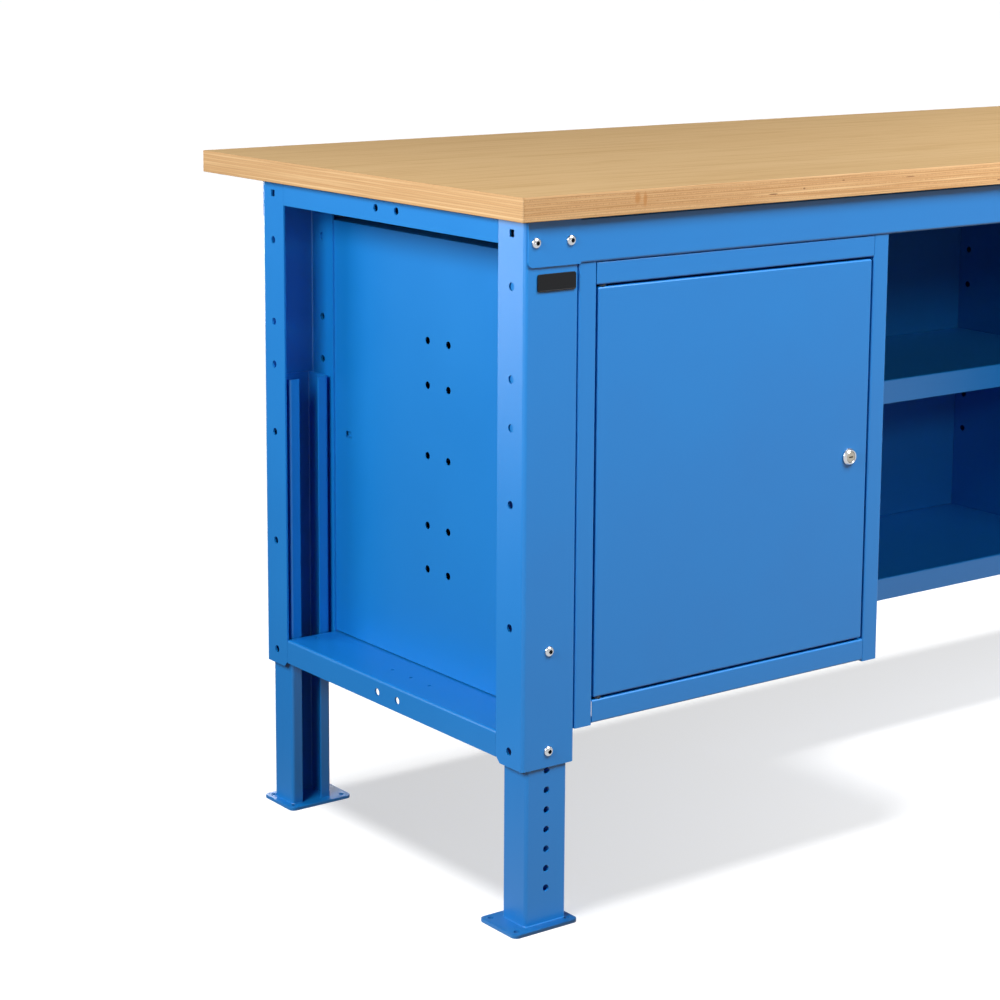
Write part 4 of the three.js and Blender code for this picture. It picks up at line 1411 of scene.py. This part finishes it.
# %% [markdown]
# In a studio, flags keep the soft boxes off the floor. Light linking does the same here: the soft boxes reach
# only the bench, and the floor's overhead lamp reaches only the floor. The board is so high above the floor
# that its own shadow there is lost in the photograph, so it doesn't block that lamp.

# %% Lamps and what they reach


def collection_of(name, objects):
    made = bpy.data.collections.new(name)
    for member in objects:
        made.objects.link(member)
    return made


pieces = [item for item in bpy.data.objects if item.type == "MESH" and item is not floor]
BENCH = collection_of("bench", pieces)
LOW_PARTS = collection_of("low parts", [item for item in pieces if item is not board])
SHELF_NAMES = ("bay_lower_pan", "bay_upper_pan")
SHELVES = collection_of("shelves", [item for item in pieces if item.name in SHELF_NAMES])
BAY_NAMES = (*SHELF_NAMES, "bay_back_sheet", "right_inner_panel")
BAY = collection_of("bay", [item for item in pieces if item.name in BAY_NAMES])
UPRIGHTS = collection_of(
    "uprights", [item for item in pieces if not item.name.endswith(("_foot", "board", *SHELF_NAMES))])
BOARD_ONLY = collection_of("board only", [board])
FRONT_POST = collection_of("front post", [bpy.data.objects["left_front_folded_post"]])
FLOOR_ONLY = collection_of("floor only", [floor])


def hang_lamp(name, lamp, place, towards, reaches, blockers=BENCH):
    made = bpy.data.objects.new(name, lamp)
    made.location = place
    made.rotation_euler = Vector(towards).to_track_quat("-Z", "Y").to_euler()
    made.light_linking.receiver_collection = reaches
    made.light_linking.blocker_collection = blockers
    bpy.context.scene.collection.objects.link(made)


def soft_box(name, power, place, target, size, reaches=BENCH, blockers=BENCH):
    lamp = bpy.data.lights.new(name, "AREA")
    lamp.energy = power
    lamp.shape = "RECTANGLE"
    lamp.size, lamp.size_y = size
    hang_lamp(name, lamp, place, Vector(target) - Vector(place), reaches, blockers)


def sun(name, strength, towards, angle, reaches, blockers):
    lamp = bpy.data.lights.new(name, "SUN")
    lamp.energy = strength
    lamp.angle = math.radians(angle)
    hang_lamp(name, lamp, (0, 0, 3), towards, reaches, blockers)


soft_box("front", 230, place=(0.2, -2.32, 3.75), target=(0.0, -0.36, 0.85), size=(2.6, 1.7), reaches=UPRIGHTS)
soft_box("left", 42, place=(-2.6, -0.6, 1.5), target=(-0.95, -0.34, 0.75), size=(0.9, 0.9))
soft_box("left rear", 22, place=(-2.6, 1.2, 1.6), target=(-0.99, 0.0, 0.6), size=(0.9, 0.9))
soft_box("board", 220, place=(1.9, -2.2, 2.4), target=(0.4, -0.2, 0.9), size=(2.2, 1.4), reaches=BOARD_ONLY)
soft_box("bay", 20, place=(-1.0, -4.0, 2.2), target=(0.2, 0.2, 0.4), size=(0.8, 0.5), reaches=BAY)
soft_box("shelf lips", 76, place=(0.4, -4.5, 1.4), target=(0.0, 0.0, 0.4), size=(1.6, 0.8), reaches=SHELVES)
soft_box("post edge", 6.0, place=(-2.3, 1.4, 0.6), target=(-0.99, -0.34, 0.7), size=(0.5, 0.5), reaches=FRONT_POST)
soft_box("rear", 105, place=(0.4, 4.2, 0.5), target=(0.0, 0.2, 0.55), size=(2.4, 0.8))
soft_box("right", 72, place=(4.4, 0.3, 0.5), target=(0.99, 0.0, 0.55), size=(1.4, 0.8))
soft_box("floor fill", 76, place=(0.8, -2.0, 1.0), target=(0.3, 0.0, 0.0), size=(1.0, 1.0),
         reaches=FLOOR_ONLY, blockers=FLOOR_ONLY)
sun("floor lamp", 3.0, (0.22, 0.0, -1.0), 16, FLOOR_ONLY, LOW_PARTS)

# %% World
AMBIENT = 0.05


def white_world():
    studio = Finish("studio", kind="worlds")
    direction = studio.node("ShaderNodeTexCoord", out="Generated")
    y = studio.node("ShaderNodeSeparateXYZ", {}, {"Vector": direction}, out="Y")
    seen, mirrored = white_for(studio, front=1 - studio.ramp(y, -0.3, 0.3))
    strength = AMBIENT + (1 - AMBIENT) * seen.maths("MAXIMUM", seen, mirrored)
    glow = studio.node("ShaderNodeBackground", {}, {"Strength": strength})
    studio.node("ShaderNodeOutputWorld", {}, {"Surface": glow}, out=None)
    bpy.context.scene.world = studio.material


white_world()
print("ambient light", AMBIENT)

# %% [markdown]
# The camera's place, direction and lens were worked out from corners of the bench whose places are known. The
# photograph is a crop from a larger picture, so a little of its framing is left to the lens shift.

# %% Camera
CAMERA_PLACE = Vector((-2.7487, -2.6914, 1.2279))
YAW, PITCH, ROLL = (math.radians(v) for v in (36.526, 9.644, -0.304))
right = Vector((math.cos(YAW), -math.sin(YAW), 0))
ahead = Vector((math.sin(YAW) * math.cos(PITCH), math.cos(YAW) * math.cos(PITCH), -math.sin(PITCH)))
down = ahead.cross(right)
across = right * math.cos(ROLL) + down * math.sin(ROLL)
below = down * math.cos(ROLL) - right * math.sin(ROLL)
camera = bpy.data.objects.new("camera", bpy.data.cameras.new("camera"))
camera.data.lens = 89.84
camera.data.sensor_width = 36
camera.data.sensor_fit = "HORIZONTAL"
camera.data.shift_y = -0.15
camera.data.clip_end = 200
turn = Matrix((across, -below, -ahead)).transposed().to_4x4()
camera.matrix_world = Matrix.Translation(CAMERA_PLACE) @ turn
bpy.context.scene.collection.objects.link(camera)
bpy.context.scene.camera = camera
bpy.context.scene.view_settings.view_transform = "Standard"
print("camera looks", round(math.degrees(PITCH), 1), "degrees down")

# %% [markdown]
# ## The size of the dressed bench
# The box of the dressed bench is printed; looks never change the size.

# %% Sizes
low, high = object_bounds()
print("visual box from", [round(v, 4) for v in low], "to", [round(v, 4) for v in high])
